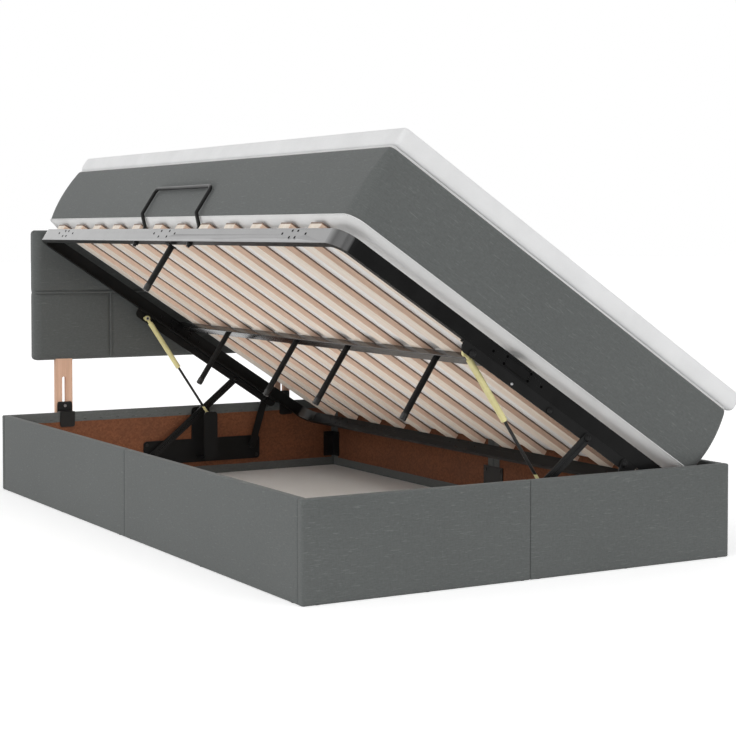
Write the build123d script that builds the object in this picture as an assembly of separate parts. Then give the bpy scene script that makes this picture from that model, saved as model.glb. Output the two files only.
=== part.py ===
from build123d import *
import os
from math import atan2, cos, degrees, hypot, radians, sin, sqrt

os.makedirs("parts", exist_ok=True)

# Base box, millimetres, origin on the floor at its centre, +Y toward the headboard
BOX_LENGTH = 2030
BOX_WIDTH = 1200
BOX_HEIGHT = 233
GLIDE_HEIGHT = 1.5
GLIDE_RADIUS = 7
GLIDE_INSET = 8
GLIDE_END_INSET = 30
GLIDE_SHARES = (-1, -0.5, -0.04, 0.04, 0.5, 1)
BOARD_THICKNESS = 16
COVER_OUTSIDE = 5
COVER_INSIDE = 1
COVER_EDGE = 1.5
HEM_WIDTH = 30
COVER_ROUND = 3
COVER_SIDE_ROUND = 2.5
PANEL_THICKNESS = COVER_OUTSIDE + BOARD_THICKNESS + COVER_INSIDE
WALL_X = BOX_WIDTH / 2 - PANEL_THICKNESS
SIDE_Y = BOX_LENGTH / 2 - PANEL_THICKNESS
OVERRUN = 5

# Floor sheets
SHEET_THICKNESS = 3
SHEET_WALL_GAP = 0.3
SHEET_GAP = 0.4
SHEET_COUNT = 3

# Box hardware
PLATE_THICKNESS = 3
CORNER_PLATE_WIDTH = 40
CORNER_PLATE_LOW = 36
CORNER_PLATE_HIGH = 120
JOIN_PLATE_LENGTH = 100
JOIN_PLATE_LOW = 36
JOIN_PLATE_HIGH = 110
FOOT_JOIN_LOW = 8
FOOT_JOIN_HIGH = 40
FOOT_JOIN_CLEAR = 4
PANEL_BOLT_RADIUS = 5.5
PANEL_BOLT_HEAD = 1.6
BOLT_MARGIN = 12

# Layers from the foot wall inward to the lift bar, the head side is the mirror image
BRACKET_THICKNESS = 3
ARM_GAP = 13
ARM_THICKNESS = 4
LAYER_GAP = 1
BAR_THICKNESS = 4
BRACKET_IN = SIDE_Y - BRACKET_THICKNESS
ARM_OUT = BRACKET_IN - ARM_GAP
ARM_IN = ARM_OUT - ARM_THICKNESS
BAR_OUT = ARM_IN - LAYER_GAP
BAR_IN = BAR_OUT - BAR_THICKNESS

# Platform frame, local a from the free edge toward the hinge side, c up from the rail bottom
FREE_PLAY = 12
HINGE_PLAY = 8
FRAME_WIDTH = 2 * WALL_X - FREE_PLAY - HINGE_PLAY
FRAME_LENGTH = 2 * BAR_OUT
FRAME_HALF = FRAME_LENGTH / 2
FLANGE_HEIGHT = 39
FLANGE_WIDTH = 18
FLANGE_THICKNESS = 3
FRAME_CORNER = 50
RAIL_HOLE_RADIUS = 2.6
LONG_HOLE_END = 222
LONG_HOLES = ((0, 69, 27), (FRAME_HALF - LONG_HOLE_END, 58, 14), (LONG_HOLE_END - FRAME_HALF, 58, 14))
LONG_HOLE_HEIGHTS = (24, 32, 14)
END_HOLE_SPANS = (81, 40)
END_HOLE_HEIGHTS = (19, 29, 10)
BEAM_WIDTH = 34
BEAM_HEIGHT = 16
BEAM_WALL = 2
LEG_RADIUS = 8.3
BEAM_LEG_END = 363
BEAM_LEG_MIDDLE = 151
BEAM_LEG_REACH = 158
FREE_LEG_REACH = 140
FREE_LEG_IN = 25
FREE_LEG_Y = -33
LEG_CAP_RADIUS = 9.2
LEG_CAP_HEIGHT = 18
LEG_CAP_BELOW = 8
LEG_PLATE_WIDTH = 26
LEG_PLATE_DEPTH = 26
LEG_PLATE_LAP = 1
SLAT_COUNT = 12
SLAT_END = 144
SLAT_PITCH = (FRAME_LENGTH - 2 * SLAT_END) / (SLAT_COUNT - 1)
SLAT_WIDTH = 54
SLAT_THICKNESS = 17
SLAT_END_INSET = 1
SLAT_ROUND = 3

# Pose of the platform when raised, as in the photograph, and when closed
OPEN_TILT = 33.3
HINGE_CORNER_IN = 123.3
HINGE_CORNER_DROP = 71.6
CLOSED_DROP = 51
HINGE_CORNER_X = WALL_X - HINGE_CORNER_IN
HINGE_CORNER_Z = BOX_HEIGHT - HINGE_CORNER_DROP
CLOSED_FREE_X = FREE_PLAY - WALL_X
CLOSED_Z = BOX_HEIGHT - CLOSED_DROP

# Mattress and topper, in platform coordinates
MATTRESS_FREE_OVER = 3
MATTRESS_HINGE_OVER = 26
MATTRESS_END_OVER = 13
MATTRESS_START = -MATTRESS_FREE_OVER
MATTRESS_WIDTH = FRAME_WIDTH + MATTRESS_FREE_OVER + MATTRESS_HINGE_OVER
MATTRESS_LENGTH = FRAME_LENGTH + 2 * MATTRESS_END_OVER
MATTRESS_RIM = 17
MATTRESS_HEIGHT = 200
MATTRESS_SHOULDER = 10
RIM_INSETS = (28, 14, 6)
RIM_CORNERS = (82, 66, 56)
BORDER_INSETS = (6, 0, 2)
BORDER_CORNERS = (56, 38, 24)
SHOULDER_INSETS = (2, 5, 13)
SHOULDER_CORNERS = (24, 22, 18)
RIM_MID_SHARE = 0.38
SHOULDER_MID_SHARE = 0.66
TOPPER_START = 2
TOPPER_HINGE_OVER = 48
TOPPER_END_OVER = 15
TOPPER_WIDTH = FRAME_WIDTH + TOPPER_HINGE_OVER - TOPPER_START
TOPPER_LENGTH = FRAME_LENGTH + 2 * TOPPER_END_OVER
TOPPER_HEIGHT = 52
TOPPER_INSETS = (8, 2.2, 0)
TOPPER_CORNERS = (16, 20, 22)
TOPPER_STEPS_SHARES = (0, 0.06, 0.16)

# Mattress retainer loop
LOOP_ROD_RADIUS = 5
LOOP_SLAT_GAP = 18.7
LOOP_SPAN = 3 * SLAT_PITCH - SLAT_WIDTH - 2 * LOOP_SLAT_GAP
LOOP_A = 8.3
LOOP_TAIL = 12
LOOP_KINK_C = 49
LOOP_OUT_A = -20
LOOP_OUT_C = 76
LOOP_TOP_C = 158
LOOP_BEND = 14
LOOP_KINK_ROUND = 10
LOOP_NUT_RADIUS = 8
LOOP_NUT_HEIGHT = 6

# Lift mechanism, foot side; pivots are measured inward from the hinge edge of the frame
ARM_WIDTH = 24
BAR_DROP = 26
BAR_LEG = 18
BAR_START_IN = 730
BAR_END_IN = 135
BAR_CORNER = 16
LONG_ARM_LENGTH = 380
SHORT_ARM_LENGTH = 160
LONG_PIVOT_IN = 306
LONG_PIVOT_C = -16
SHORT_PIVOT_IN = 174
SHORT_PIVOT_C = -13
STRUT_TOP_IN = 696
STRUT_TOP_C = -17
BAR_BOLTS_IN = (563, 437)
STRUT_FOOT_IN = 498
STRUT_FOOT_DROP = 27
STRUT_PLANE_IN = 49
PIN_RADIUS = 5
RUNNING_GAP = 0.05
PIN_HEAD_RADIUS = 9
PIN_HEAD_HEIGHT = 1.6
NUT_RADIUS = 8
NUT_HEIGHT = 5
SCREW_RADIUS = 7
BAR_HEAD_HEIGHT = 3
SPACER_RADIUS = 8
OPEN_PIVOT_GAP = 0.3

# Base bracket, its outline measured from the fixed pivots and the strut foot
BRACKET_PAST_LONG = 26
BRACKET_PAST_SHORT = 35
BRACKET_BELOW = 32
BRACKET_ABOVE = 30
TOWER_BEFORE = 40
TOWER_BEYOND = 25
TOWER_DROP = 5
BRACKET_ROUND = 12
SHELF_HALF = 24
SHELF_RISE = 15
SHELF_THICKNESS = 4
UPRIGHT_IN = 64
UPRIGHT_TOP_MARGIN = 11
STUD_RADIUS = 4
STUD_HEAD_RADIUS = 7
STUD_HEAD_HEIGHT = 2.2

# Gas strut
CYLINDER_RADIUS = 8
CYLINDER_BORE = 6.2
CYLINDER_END_WALL = 4
CLOSED_ROD_SHOW = 14
CYLINDER_END_ROUND = 1.5
STRUT_FITTING_RADIUS = 5
STRUT_FITTING_LENGTH = 18
ROD_FITTING_LENGTH = 13
ROD_RADIUS = 4
ROD_TIP_MARGIN = 10
GLAND_LENGTH = 5
EYE_RADIUS = 8.5
EYE_WIDTH = 10

# Headboard
HEAD_SIDE_IN = 112
HEAD_WIDTH = BOX_WIDTH - 2 * HEAD_SIDE_IN
HEAD_LOW = 400
HEAD_TOP = 814
HEAD_SIDE_ROUND = 22
HEAD_EDGE_ROUND = 8
HEAD_CROWN = 5
HEAD_PADDING = 9
HEAD_DEPTH = 45
CORE_THICKNESS = 18
CORE_MARGIN = 20
CORE_GAP = 0.6
PIPE_RADIUS = 2.5
PIPE_PROUD = 1.7
PIPE_SINK = 0.8
PIPE_ROUND = 1.5
SEAM_HEIGHT = 616
SEAM_IN = 253
SEAM_X = HEAD_WIDTH / 2 - SEAM_IN
LEG_IN = 96
LEG_X = HEAD_WIDTH / 2 - LEG_IN
LEG_WIDTH = 55
LEG_HIGH = 604
LEG_DROP = 38
LEG_SLOT_WIDTH = 14
LEG_SLOT_RISE = 16.5
LEG_SLOT_LENGTH = 97
LEG_END_ROUND = 6
HOOK_WIDTH = 49
HOOK_INNER_DROP = 46
HOOK_OUTER_DROP = 33
HOOK_OUTER_RISE = 33
HOOK_ROUND = 7
CLAMP_RISE = 20
CLAMP_RADIUS = 3
CLAMP_HEAD_RADIUS = 4.5
CLAMP_HEAD_HEIGHT = 4
CLAMP_WASHER_RADIUS = 11
CLAMP_CLEARANCE = 0.3
HEAD_FRONT_Y = BOX_LENGTH / 2 - HEAD_PADDING
HEAD_BACK_Y = BOX_LENGTH / 2 + HEAD_DEPTH
CORE_Y = BOX_LENGTH / 2 + PLATE_THICKNESS + CORE_GAP
LEG_LOW = BOX_HEIGHT - LEG_DROP
LEG_SLOT_LOW = BOX_HEIGHT + LEG_SLOT_RISE
LEG_SLOT_HIGH = LEG_SLOT_LOW + LEG_SLOT_LENGTH
CLAMP_Z = BOX_HEIGHT + CLAMP_RISE

# Derived positions
TILT = radians(OPEN_TILT)
FREE_X = HINGE_CORNER_X - FRAME_WIDTH * cos(TILT)
FREE_Z = HINGE_CORNER_Z + FRAME_WIDTH * sin(TILT)
OPEN_POSE = Location((FREE_X, 0, FREE_Z), (0, OPEN_TILT, 0))
SLAT_TOP = FLANGE_HEIGHT + SLAT_THICKNESS
RIM_TOP = SLAT_TOP + MATTRESS_RIM
MATTRESS_TOP = SLAT_TOP + MATTRESS_HEIGHT
BAR_START = FRAME_WIDTH - BAR_START_IN
BAR_END = FRAME_WIDTH - BAR_END_IN
LONG_PIVOT_A = FRAME_WIDTH - LONG_PIVOT_IN
SHORT_PIVOT_A = FRAME_WIDTH - SHORT_PIVOT_IN
STRUT_TOP_A = FRAME_WIDTH - STRUT_TOP_IN
BAR_BOLTS_A = tuple(FRAME_WIDTH - inward for inward in BAR_BOLTS_IN)
STRUT_FOOT_X = WALL_X - STRUT_FOOT_IN
STRUT_FOOT_Z = BOX_HEIGHT - STRUT_FOOT_DROP
STRUT_Y = SIDE_Y - STRUT_PLANE_IN


def open_point(a, c):
    return (FREE_X + a * cos(TILT) + c * sin(TILT), FREE_Z - a * sin(TILT) + c * cos(TILT))


def closed_point(a, c):
    return (CLOSED_FREE_X + a, CLOSED_Z + c)


def arm_foot(a, c, length):
    """Fixed pivot that keeps an arm of this length on the moving pivot in both poses."""
    p, q = open_point(a, c), closed_point(a, c)
    dx, dz = q[0] - p[0], q[1] - p[1]
    span = hypot(dx, dz)
    reach = sqrt(length ** 2 - (span / 2) ** 2)
    mid = ((p[0] + q[0]) / 2, (p[1] + q[1]) / 2)
    one = (mid[0] + reach * dz / span, mid[1] - reach * dx / span)
    two = (mid[0] - reach * dz / span, mid[1] + reach * dx / span)
    return min(one, two)


def heading(foot, tip):
    return degrees(atan2(tip[1] - foot[1], tip[0] - foot[0]))


LONG_TOP = open_point(LONG_PIVOT_A, LONG_PIVOT_C)
SHORT_TOP = open_point(SHORT_PIVOT_A, SHORT_PIVOT_C)
STRUT_TOP = open_point(STRUT_TOP_A, STRUT_TOP_C)
LONG_FOOT = arm_foot(LONG_PIVOT_A, LONG_PIVOT_C, LONG_ARM_LENGTH)
SHORT_FOOT = arm_foot(SHORT_PIVOT_A, SHORT_PIVOT_C, SHORT_ARM_LENGTH)
STRUT_FOOT = (STRUT_FOOT_X, STRUT_FOOT_Z)
STRUT_END = closed_point(STRUT_TOP_A, STRUT_TOP_C)
STRUT_OPEN_LENGTH = hypot(STRUT_TOP[0] - STRUT_FOOT_X, STRUT_TOP[1] - STRUT_FOOT_Z)
STRUT_CLOSED_LENGTH = hypot(STRUT_END[0] - STRUT_FOOT_X, STRUT_END[1] - STRUT_FOOT_Z)
ROD_LENGTH = STRUT_CLOSED_LENGTH - ROD_TIP_MARGIN
CYLINDER_START = STRUT_OPEN_LENGTH - STRUT_CLOSED_LENGTH + CLOSED_ROD_SHOW
BRACKET_LEFT = LONG_FOOT[0] - BRACKET_PAST_LONG
BRACKET_RIGHT = SHORT_FOOT[0] + BRACKET_PAST_SHORT
BRACKET_LOW = LONG_FOOT[1] - BRACKET_BELOW
BRACKET_TOP = SHORT_FOOT[1] + BRACKET_ABOVE
TOWER_LEFT = STRUT_FOOT_X - TOWER_BEFORE
TOWER_RIGHT = STRUT_FOOT_X + TOWER_BEYOND
TOWER_TOP = BOX_HEIGHT - TOWER_DROP
SHELF_LOW = BRACKET_LOW + SHELF_RISE


def block(x0, x1, y0, y1, z0, z1):
    centre = ((x0 + x1) / 2, (y0 + y1) / 2, (z0 + z1) / 2)
    return Pos(*centre) * Box(abs(x1 - x0), abs(y1 - y0), abs(z1 - z0))


def rod_x(radius, x0, x1, y, z):
    return Pos((x0 + x1) / 2, y, z) * Rot(0, 90, 0) * Cylinder(radius, abs(x1 - x0))


def rod_y(radius, y0, y1, x, z):
    return Pos(x, (y0 + y1) / 2, z) * Rot(90, 0, 0) * Cylinder(radius, abs(y1 - y0))


def rod_z(radius, z0, z1, x, y):
    return Pos(x, y, (z0 + z1) / 2) * Cylinder(radius, abs(z1 - z0))


def group(pieces):
    return Compound(children=[solid for piece in pieces for solid in piece.solids()])


def save(name, shape):
    solids = shape.solids()
    out = solids[0] if len(solids) == 1 else Compound(children=list(solids))
    out.label = name
    export_step(out, f"parts/{name}.step")


def mirrored(shape):
    return mirror(shape, about=Plane.XZ)


# Upholstered base panels
def panel(length):
    low = GLIDE_HEIGHT
    half = length / 2
    body = block(-half, half, 0, PANEL_THICKNESS, low, BOX_HEIGHT)
    front = body.faces().sort_by(Axis.Y)[0]
    upright = [e for e in front.edges() if abs((e % 0.5).Z) > 0.5]
    level = [e for e in front.edges() if abs((e % 0.5).X) > 0.5]
    body = fillet(level, COVER_ROUND)
    front = body.faces().sort_by(Axis.Y)[0]
    upright = [e for e in front.edges() if abs((e % 0.5).Z) > 0.5]
    body = fillet(upright, COVER_SIDE_ROUND)
    inner = COVER_OUTSIDE + BOARD_THICKNESS
    board_low = low + COVER_EDGE
    board_top = BOX_HEIGHT - COVER_EDGE
    board = block(COVER_EDGE - half, half - COVER_EDGE, COVER_OUTSIDE, inner, board_low, board_top)
    window_low = low + HEM_WIDTH
    window_top = BOX_HEIGHT - HEM_WIDTH
    side = half - HEM_WIDTH
    window = block(-side, side, inner, inner + COVER_INSIDE + OVERRUN, window_low, window_top)
    return board, body - board - window


def base_panels():
    half_width = BOX_WIDTH / 2
    half_length = BOX_LENGTH / 2
    places = {
        "foot_left": (half_width, Location((-half_width / 2, -half_length, 0))),
        "foot_right": (half_width, Location((half_width / 2, -half_length, 0))),
        "side_left_foot": (SIDE_Y, Location((-half_width, -SIDE_Y / 2, 0), (0, 0, -90))),
        "side_left_head": (SIDE_Y, Location((-half_width, SIDE_Y / 2, 0), (0, 0, -90))),
        "side_right_foot": (SIDE_Y, Location((half_width, -SIDE_Y / 2, 0), (0, 0, 90))),
        "side_right_head": (SIDE_Y, Location((half_width, SIDE_Y / 2, 0), (0, 0, 90))),
        "head": (BOX_WIDTH, Location((0, half_length, 0), (0, 0, 180))),
    }
    for name, (length, place) in places.items():
        board, cover = panel(length)
        save(f"board_{name}", place * board)
        save(f"cover_{name}", place * cover)


def glides():
    x_side = BOX_WIDTH / 2 - GLIDE_INSET
    y_end = BOX_LENGTH / 2 - GLIDE_INSET
    pads = []
    for side in (-1, 1):
        for share in GLIDE_SHARES:
            y = share * (SIDE_Y - GLIDE_END_INSET)
            pads.append(rod_z(GLIDE_RADIUS, 0, GLIDE_HEIGHT, side * x_side, y))
            x = share * (x_side - GLIDE_END_INSET)
            pads.append(rod_z(GLIDE_RADIUS, 0, GLIDE_HEIGHT, x, side * y_end))
    return group(pads)


def floor_sheets():
    half_x = WALL_X - SHEET_WALL_GAP
    half_y = SIDE_Y - SHEET_WALL_GAP
    width = (2 * half_x - (SHEET_COUNT - 1) * SHEET_GAP) / SHEET_COUNT
    sheets = []
    for n in range(SHEET_COUNT):
        x0 = -half_x + n * (width + SHEET_GAP)
        sheets.append(block(x0, x0 + width, -half_y, half_y, 0, SHEET_THICKNESS))
    return group(sheets)


# Plates and bolts that join the panels
def box_hardware():
    plates, joins, bolts = [], [], []
    far = CORNER_PLATE_WIDTH - BOLT_MARGIN
    heights = (CORNER_PLATE_LOW + BOLT_MARGIN, CORNER_PLATE_HIGH - BOLT_MARGIN)
    for sx in (-1, 1):
        for sy in (-1, 1):
            x, y = sx * WALL_X, sy * SIDE_Y
            x_in, y_in = x - sx * PLATE_THICKNESS, y - sy * PLATE_THICKNESS
            low, high = CORNER_PLATE_LOW, CORNER_PLATE_HIGH
            one = block(x, x_in, y, y - sy * CORNER_PLATE_WIDTH, low, high)
            two = block(x, x - sx * CORNER_PLATE_WIDTH, y, y_in, low, high)
            plates.append(one + two)
            for z in heights:
                head = x_in - sx * PANEL_BOLT_HEAD
                bolts.append(rod_x(PANEL_BOLT_RADIUS, x_in, head, y - sy * far, z))
                head = y_in - sy * PANEL_BOLT_HEAD
                bolts.append(rod_y(PANEL_BOLT_RADIUS, y_in, head, x - sx * far, z))
        x = sx * WALL_X
        x_in = x - sx * PLATE_THICKNESS
        half = JOIN_PLATE_LENGTH / 2
        joins.append(block(x, x_in, -half, half, JOIN_PLATE_LOW, JOIN_PLATE_HIGH))
        for sy in (-1, 1):
            for z in (JOIN_PLATE_LOW + BOLT_MARGIN, JOIN_PLATE_HIGH - BOLT_MARGIN):
                head = x_in - sx * PANEL_BOLT_HEAD
                bolts.append(rod_x(PANEL_BOLT_RADIUS, x_in, head, sy * (half - BOLT_MARGIN), z))
    half = JOIN_PLATE_LENGTH / 2
    y_in = -SIDE_Y + PLATE_THICKNESS
    joins.append(block(-half, half, -SIDE_Y, y_in, FOOT_JOIN_LOW, FOOT_JOIN_HIGH))
    middle = (FOOT_JOIN_LOW + FOOT_JOIN_HIGH) / 2
    for sx in (-1, 1):
        head = y_in + PANEL_BOLT_HEAD
        bolts.append(rod_y(PANEL_BOLT_RADIUS, y_in, head, sx * (half - BOLT_MARGIN), middle))
    for sy in (-1, 1):
        y_in = sy * BRACKET_IN
        head = y_in - sy * PANEL_BOLT_HEAD
        for x in (BRACKET_LEFT + BOLT_MARGIN, BRACKET_RIGHT - BOLT_MARGIN):
            for z in (BRACKET_LOW + BOLT_MARGIN, BRACKET_TOP - BOLT_MARGIN):
                bolts.append(rod_y(PANEL_BOLT_RADIUS, y_in, head, x, z))
        for x in (TOWER_LEFT + BOLT_MARGIN, TOWER_RIGHT - BOLT_MARGIN):
            bolts.append(rod_y(PANEL_BOLT_RADIUS, y_in, head, x, TOWER_TOP - BOLT_MARGIN))
    return group(plates), group(joins), group(bolts)


# Platform frame in its own coordinates
def rounded_slab(width, length, radius, low, high):
    plan = Plane.XY.offset(low) * Pos(FRAME_WIDTH / 2, 0) * RectangleRounded(width, length, radius)
    return extrude(plan, high - low)


def frame_ring():
    wall = 2 * FLANGE_THICKNESS
    leg = 2 * FLANGE_WIDTH
    body = rounded_slab(FRAME_WIDTH, FRAME_LENGTH, FRAME_CORNER, 0, FLANGE_HEIGHT)
    inner_corner = FRAME_CORNER - FLANGE_THICKNESS
    inner = (FRAME_WIDTH - wall, FRAME_LENGTH - wall, inner_corner)
    body -= rounded_slab(*inner, FLANGE_THICKNESS, FLANGE_HEIGHT + OVERRUN)
    low_corner = FRAME_CORNER - FLANGE_WIDTH
    low = (FRAME_WIDTH - leg, FRAME_LENGTH - leg, low_corner)
    return body - rounded_slab(*low, -OVERRUN, FLANGE_THICKNESS + OVERRUN)


def rail_holes():
    mid_c, high_c, low_c = LONG_HOLE_HEIGHTS
    cuts = []
    for x0, x1 in ((-OVERRUN, OVERRUN), (FRAME_WIDTH - OVERRUN, FRAME_WIDTH + OVERRUN)):
        for centre, outer, inner in LONG_HOLES:
            for s in (-1, 1):
                cuts.append(rod_x(RAIL_HOLE_RADIUS, x0, x1, centre + s * outer, mid_c))
                cuts.append(rod_x(RAIL_HOLE_RADIUS, x0, x1, centre + s * inner, high_c))
                cuts.append(rod_x(RAIL_HOLE_RADIUS, x0, x1, centre + s * inner, low_c))
    mid_c, high_c, low_c = END_HOLE_HEIGHTS
    outer, inner = END_HOLE_SPANS
    for side in (-1, 1):
        y0 = side * (FRAME_HALF - OVERRUN)
        y1 = side * (FRAME_HALF + OVERRUN)
        for s in (-1, 1):
            middle = FRAME_WIDTH / 2
            cuts.append(rod_y(RAIL_HOLE_RADIUS, y0, y1, middle + s * outer, mid_c))
            cuts.append(rod_y(RAIL_HOLE_RADIUS, y0, y1, middle + s * inner, high_c))
            cuts.append(rod_y(RAIL_HOLE_RADIUS, y0, y1, middle + s * inner, low_c))
    return cuts


def frame_rails():
    ring = frame_ring()
    ring -= rail_holes()
    loop_holes = []
    for s in (-1, 1):
        y = s * LOOP_SPAN / 2
        loop_holes.append(rod_z(LOOP_ROD_RADIUS, -OVERRUN, FLANGE_THICKNESS + OVERRUN, LOOP_A, y))
    ring -= loop_holes
    end = FRAME_HALF
    cut = end - FRAME_CORNER
    span = (-OVERRUN, FRAME_WIDTH + OVERRUN)
    tall = (-OVERRUN, FLANGE_HEIGHT + OVERRUN)
    half = FRAME_WIDTH / 2
    return {
        "rail_foot": ring & block(*span, -end - OVERRUN, -cut, *tall),
        "rail_head": ring & block(*span, cut, end + OVERRUN, *tall),
        "rail_free": ring & block(-OVERRUN, half, -cut, cut, *tall),
        "rail_hinge": ring & block(half, FRAME_WIDTH + OVERRUN, -cut, cut, *tall),
    }


def centre_beam():
    end = FRAME_HALF - FLANGE_THICKNESS
    middle = FRAME_WIDTH / 2
    half = BEAM_WIDTH / 2
    low = FLANGE_HEIGHT - BEAM_HEIGHT
    body = block(middle - half, middle + half, -end, end, low, FLANGE_HEIGHT)
    long_edges = body.edges().filter_by(Axis.Y)
    body = fillet(long_edges, BEAM_WALL)
    inner = half - BEAM_WALL
    hollow = (-end - OVERRUN, end + OVERRUN, low + BEAM_WALL, FLANGE_HEIGHT - BEAM_WALL)
    return body - block(middle - inner, middle + inner, *hollow)


def support_legs():
    legs, caps = [], []
    top = FLANGE_HEIGHT - BEAM_HEIGHT
    spans = (FRAME_HALF - BEAM_LEG_END, BEAM_LEG_MIDDLE)
    places = [(FRAME_WIDTH / 2, s * y, top, -BEAM_LEG_REACH) for y in spans for s in (-1, 1)]
    places.append((FREE_LEG_IN, FREE_LEG_Y, -PLATE_THICKNESS, -FREE_LEG_REACH))
    for a, y, high, end in places:
        low = end + LEG_CAP_BELOW
        legs.append(rod_z(LEG_RADIUS, low, high, a, y))
        cap = rod_z(LEG_CAP_RADIUS, end, end + LEG_CAP_HEIGHT, a, y)
        cap = fillet(cap.edges().sort_by(Axis.Z)[0], LEG_CAP_BELOW / 2)
        caps.append(cap - rod_z(LEG_RADIUS, low, high, a, y))
    start = FREE_LEG_IN + LEG_RADIUS - LEG_PLATE_DEPTH + LEG_PLATE_LAP
    y0, y1 = FREE_LEG_Y - LEG_PLATE_WIDTH / 2, FREE_LEG_Y + LEG_PLATE_WIDTH / 2
    legs.append(block(start, start + LEG_PLATE_DEPTH, y0, y1, -PLATE_THICKNESS, 0))
    return group(legs), group(caps)


def slat(n):
    y = (n - (SLAT_COUNT - 1) / 2) * SLAT_PITCH
    half = SLAT_WIDTH / 2
    span = (SLAT_END_INSET, FRAME_WIDTH - SLAT_END_INSET)
    body = block(*span, y - half, y + half, FLANGE_HEIGHT, SLAT_TOP)
    top = body.faces().sort_by(Axis.Z)[-1]
    return fillet(top.edges().filter_by(Axis.X), SLAT_ROUND)


def loop_wire():
    y = LOOP_SPAN / 2
    points = [
        (LOOP_A, -y, -LOOP_TAIL),
        (LOOP_A, -y, LOOP_KINK_C),
        (LOOP_OUT_A, -y, LOOP_OUT_C),
        (LOOP_OUT_A, -y, LOOP_TOP_C),
        (LOOP_OUT_A, y, LOOP_TOP_C),
        (LOOP_OUT_A, y, LOOP_OUT_C),
        (LOOP_A, y, LOOP_KINK_C),
        (LOOP_A, y, -LOOP_TAIL),
    ]
    rounds = [0, LOOP_KINK_ROUND, LOOP_KINK_ROUND, LOOP_BEND, LOOP_BEND, LOOP_KINK_ROUND, LOOP_KINK_ROUND, 0]
    path = FilletPolyline(*points, radius=rounds[1:-1])
    return path


def retainer_loop():
    path = loop_wire()
    section = Plane(origin=path @ 0, z_dir=path % 0) * Circle(LOOP_ROD_RADIUS)
    return sweep(section, path=path)


# Soft parts in platform coordinates
def soft_layer(start, width, length, heights, insets, corners):
    middle = start + width / 2
    sections = []
    for c, inset, corner in zip(heights, insets, corners):
        shape = RectangleRounded(width - 2 * inset, length - 2 * inset, corner)
        sections.append(Plane.XY.offset(c) * Pos(middle, 0) * shape)
    return loft(sections)


def mattress():
    size = (MATTRESS_START, MATTRESS_WIDTH, MATTRESS_LENGTH)
    rim_mid = SLAT_TOP + MATTRESS_RIM * RIM_MID_SHARE
    low_heights = (SLAT_TOP, rim_mid, RIM_TOP)
    shoulder = MATTRESS_TOP - MATTRESS_SHOULDER
    mid_heights = (RIM_TOP, (RIM_TOP + shoulder) / 2, shoulder)
    high_heights = (shoulder, shoulder + MATTRESS_SHOULDER * SHOULDER_MID_SHARE, MATTRESS_TOP)
    body = soft_layer(*size, low_heights, RIM_INSETS, RIM_CORNERS)
    body += soft_layer(*size, mid_heights, BORDER_INSETS, BORDER_CORNERS)
    body += soft_layer(*size, high_heights, SHOULDER_INSETS, SHOULDER_CORNERS)
    return body


def topper():
    low_heights = [MATTRESS_TOP + TOPPER_HEIGHT * s for s in TOPPER_STEPS_SHARES]
    high_heights = [MATTRESS_TOP + TOPPER_HEIGHT * (1 - s) for s in reversed(TOPPER_STEPS_SHARES)]
    size = (TOPPER_START, TOPPER_WIDTH, TOPPER_LENGTH)
    side = (low_heights[-1], high_heights[0])
    body = soft_layer(*size, low_heights, TOPPER_INSETS, TOPPER_CORNERS)
    body += soft_layer(*size, side, TOPPER_INSETS[-1:] * 2, TOPPER_CORNERS[-1:] * 2)
    body += soft_layer(*size, high_heights, TOPPER_INSETS[::-1], TOPPER_CORNERS[::-1])
    return body


# Lift bars and their bolts in platform coordinates, foot side
def lift_bar():
    plate = block(BAR_START, BAR_END, -BAR_OUT, -BAR_IN, -BAR_DROP, 0)
    low_edges = plate.edges().filter_by(Axis.Y).group_by(Axis.Z)[0]
    plate = fillet(low_edges, BAR_CORNER)
    leg = block(BAR_START, BAR_END, -BAR_OUT, -BAR_OUT + BAR_LEG, -BAR_THICKNESS, 0)
    hole = rod_y(PIN_RADIUS, -BAR_OUT - OVERRUN, -BAR_IN + OVERRUN, LONG_PIVOT_A, LONG_PIVOT_C)
    return plate + leg - hole


def bar_bolts():
    pivot = (LONG_PIVOT_A, LONG_PIVOT_C)
    pin = rod_y(PIN_RADIUS, -ARM_OUT, -BAR_IN, *pivot)
    head = rod_y(PIN_HEAD_RADIUS, -ARM_OUT - PIN_HEAD_HEIGHT, -ARM_OUT, *pivot)
    nut = rod_y(NUT_RADIUS, -BAR_IN, -BAR_IN + NUT_HEIGHT, *pivot)
    bolts = [pin + head + nut]
    bolts.append(rod_y(NUT_RADIUS, -BAR_IN, -BAR_IN + NUT_HEIGHT, SHORT_PIVOT_A, SHORT_PIVOT_C))
    strut = (STRUT_TOP_A, STRUT_TOP_C)
    bolts.append(rod_y(SCREW_RADIUS, -BAR_OUT - BAR_HEAD_HEIGHT, -BAR_OUT, *strut))
    for a in BAR_BOLTS_A:
        bolts.append(rod_y(SCREW_RADIUS, -BAR_OUT - BAR_HEAD_HEIGHT, -BAR_OUT, a, STRUT_TOP_C))
    return bolts


def lift_bar_bolts():
    pieces = bar_bolts()
    pieces += [mirrored(piece) for piece in bar_bolts()]
    for s in (-1, 1):
        y = s * LOOP_SPAN / 2
        nut = rod_z(LOOP_NUT_RADIUS, -LOOP_NUT_HEIGHT, 0, LOOP_A, y)
        pieces.append(nut - rod_z(LOOP_ROD_RADIUS, -LOOP_TAIL - OVERRUN, OVERRUN, LOOP_A, y))
    return group(pieces)


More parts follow.
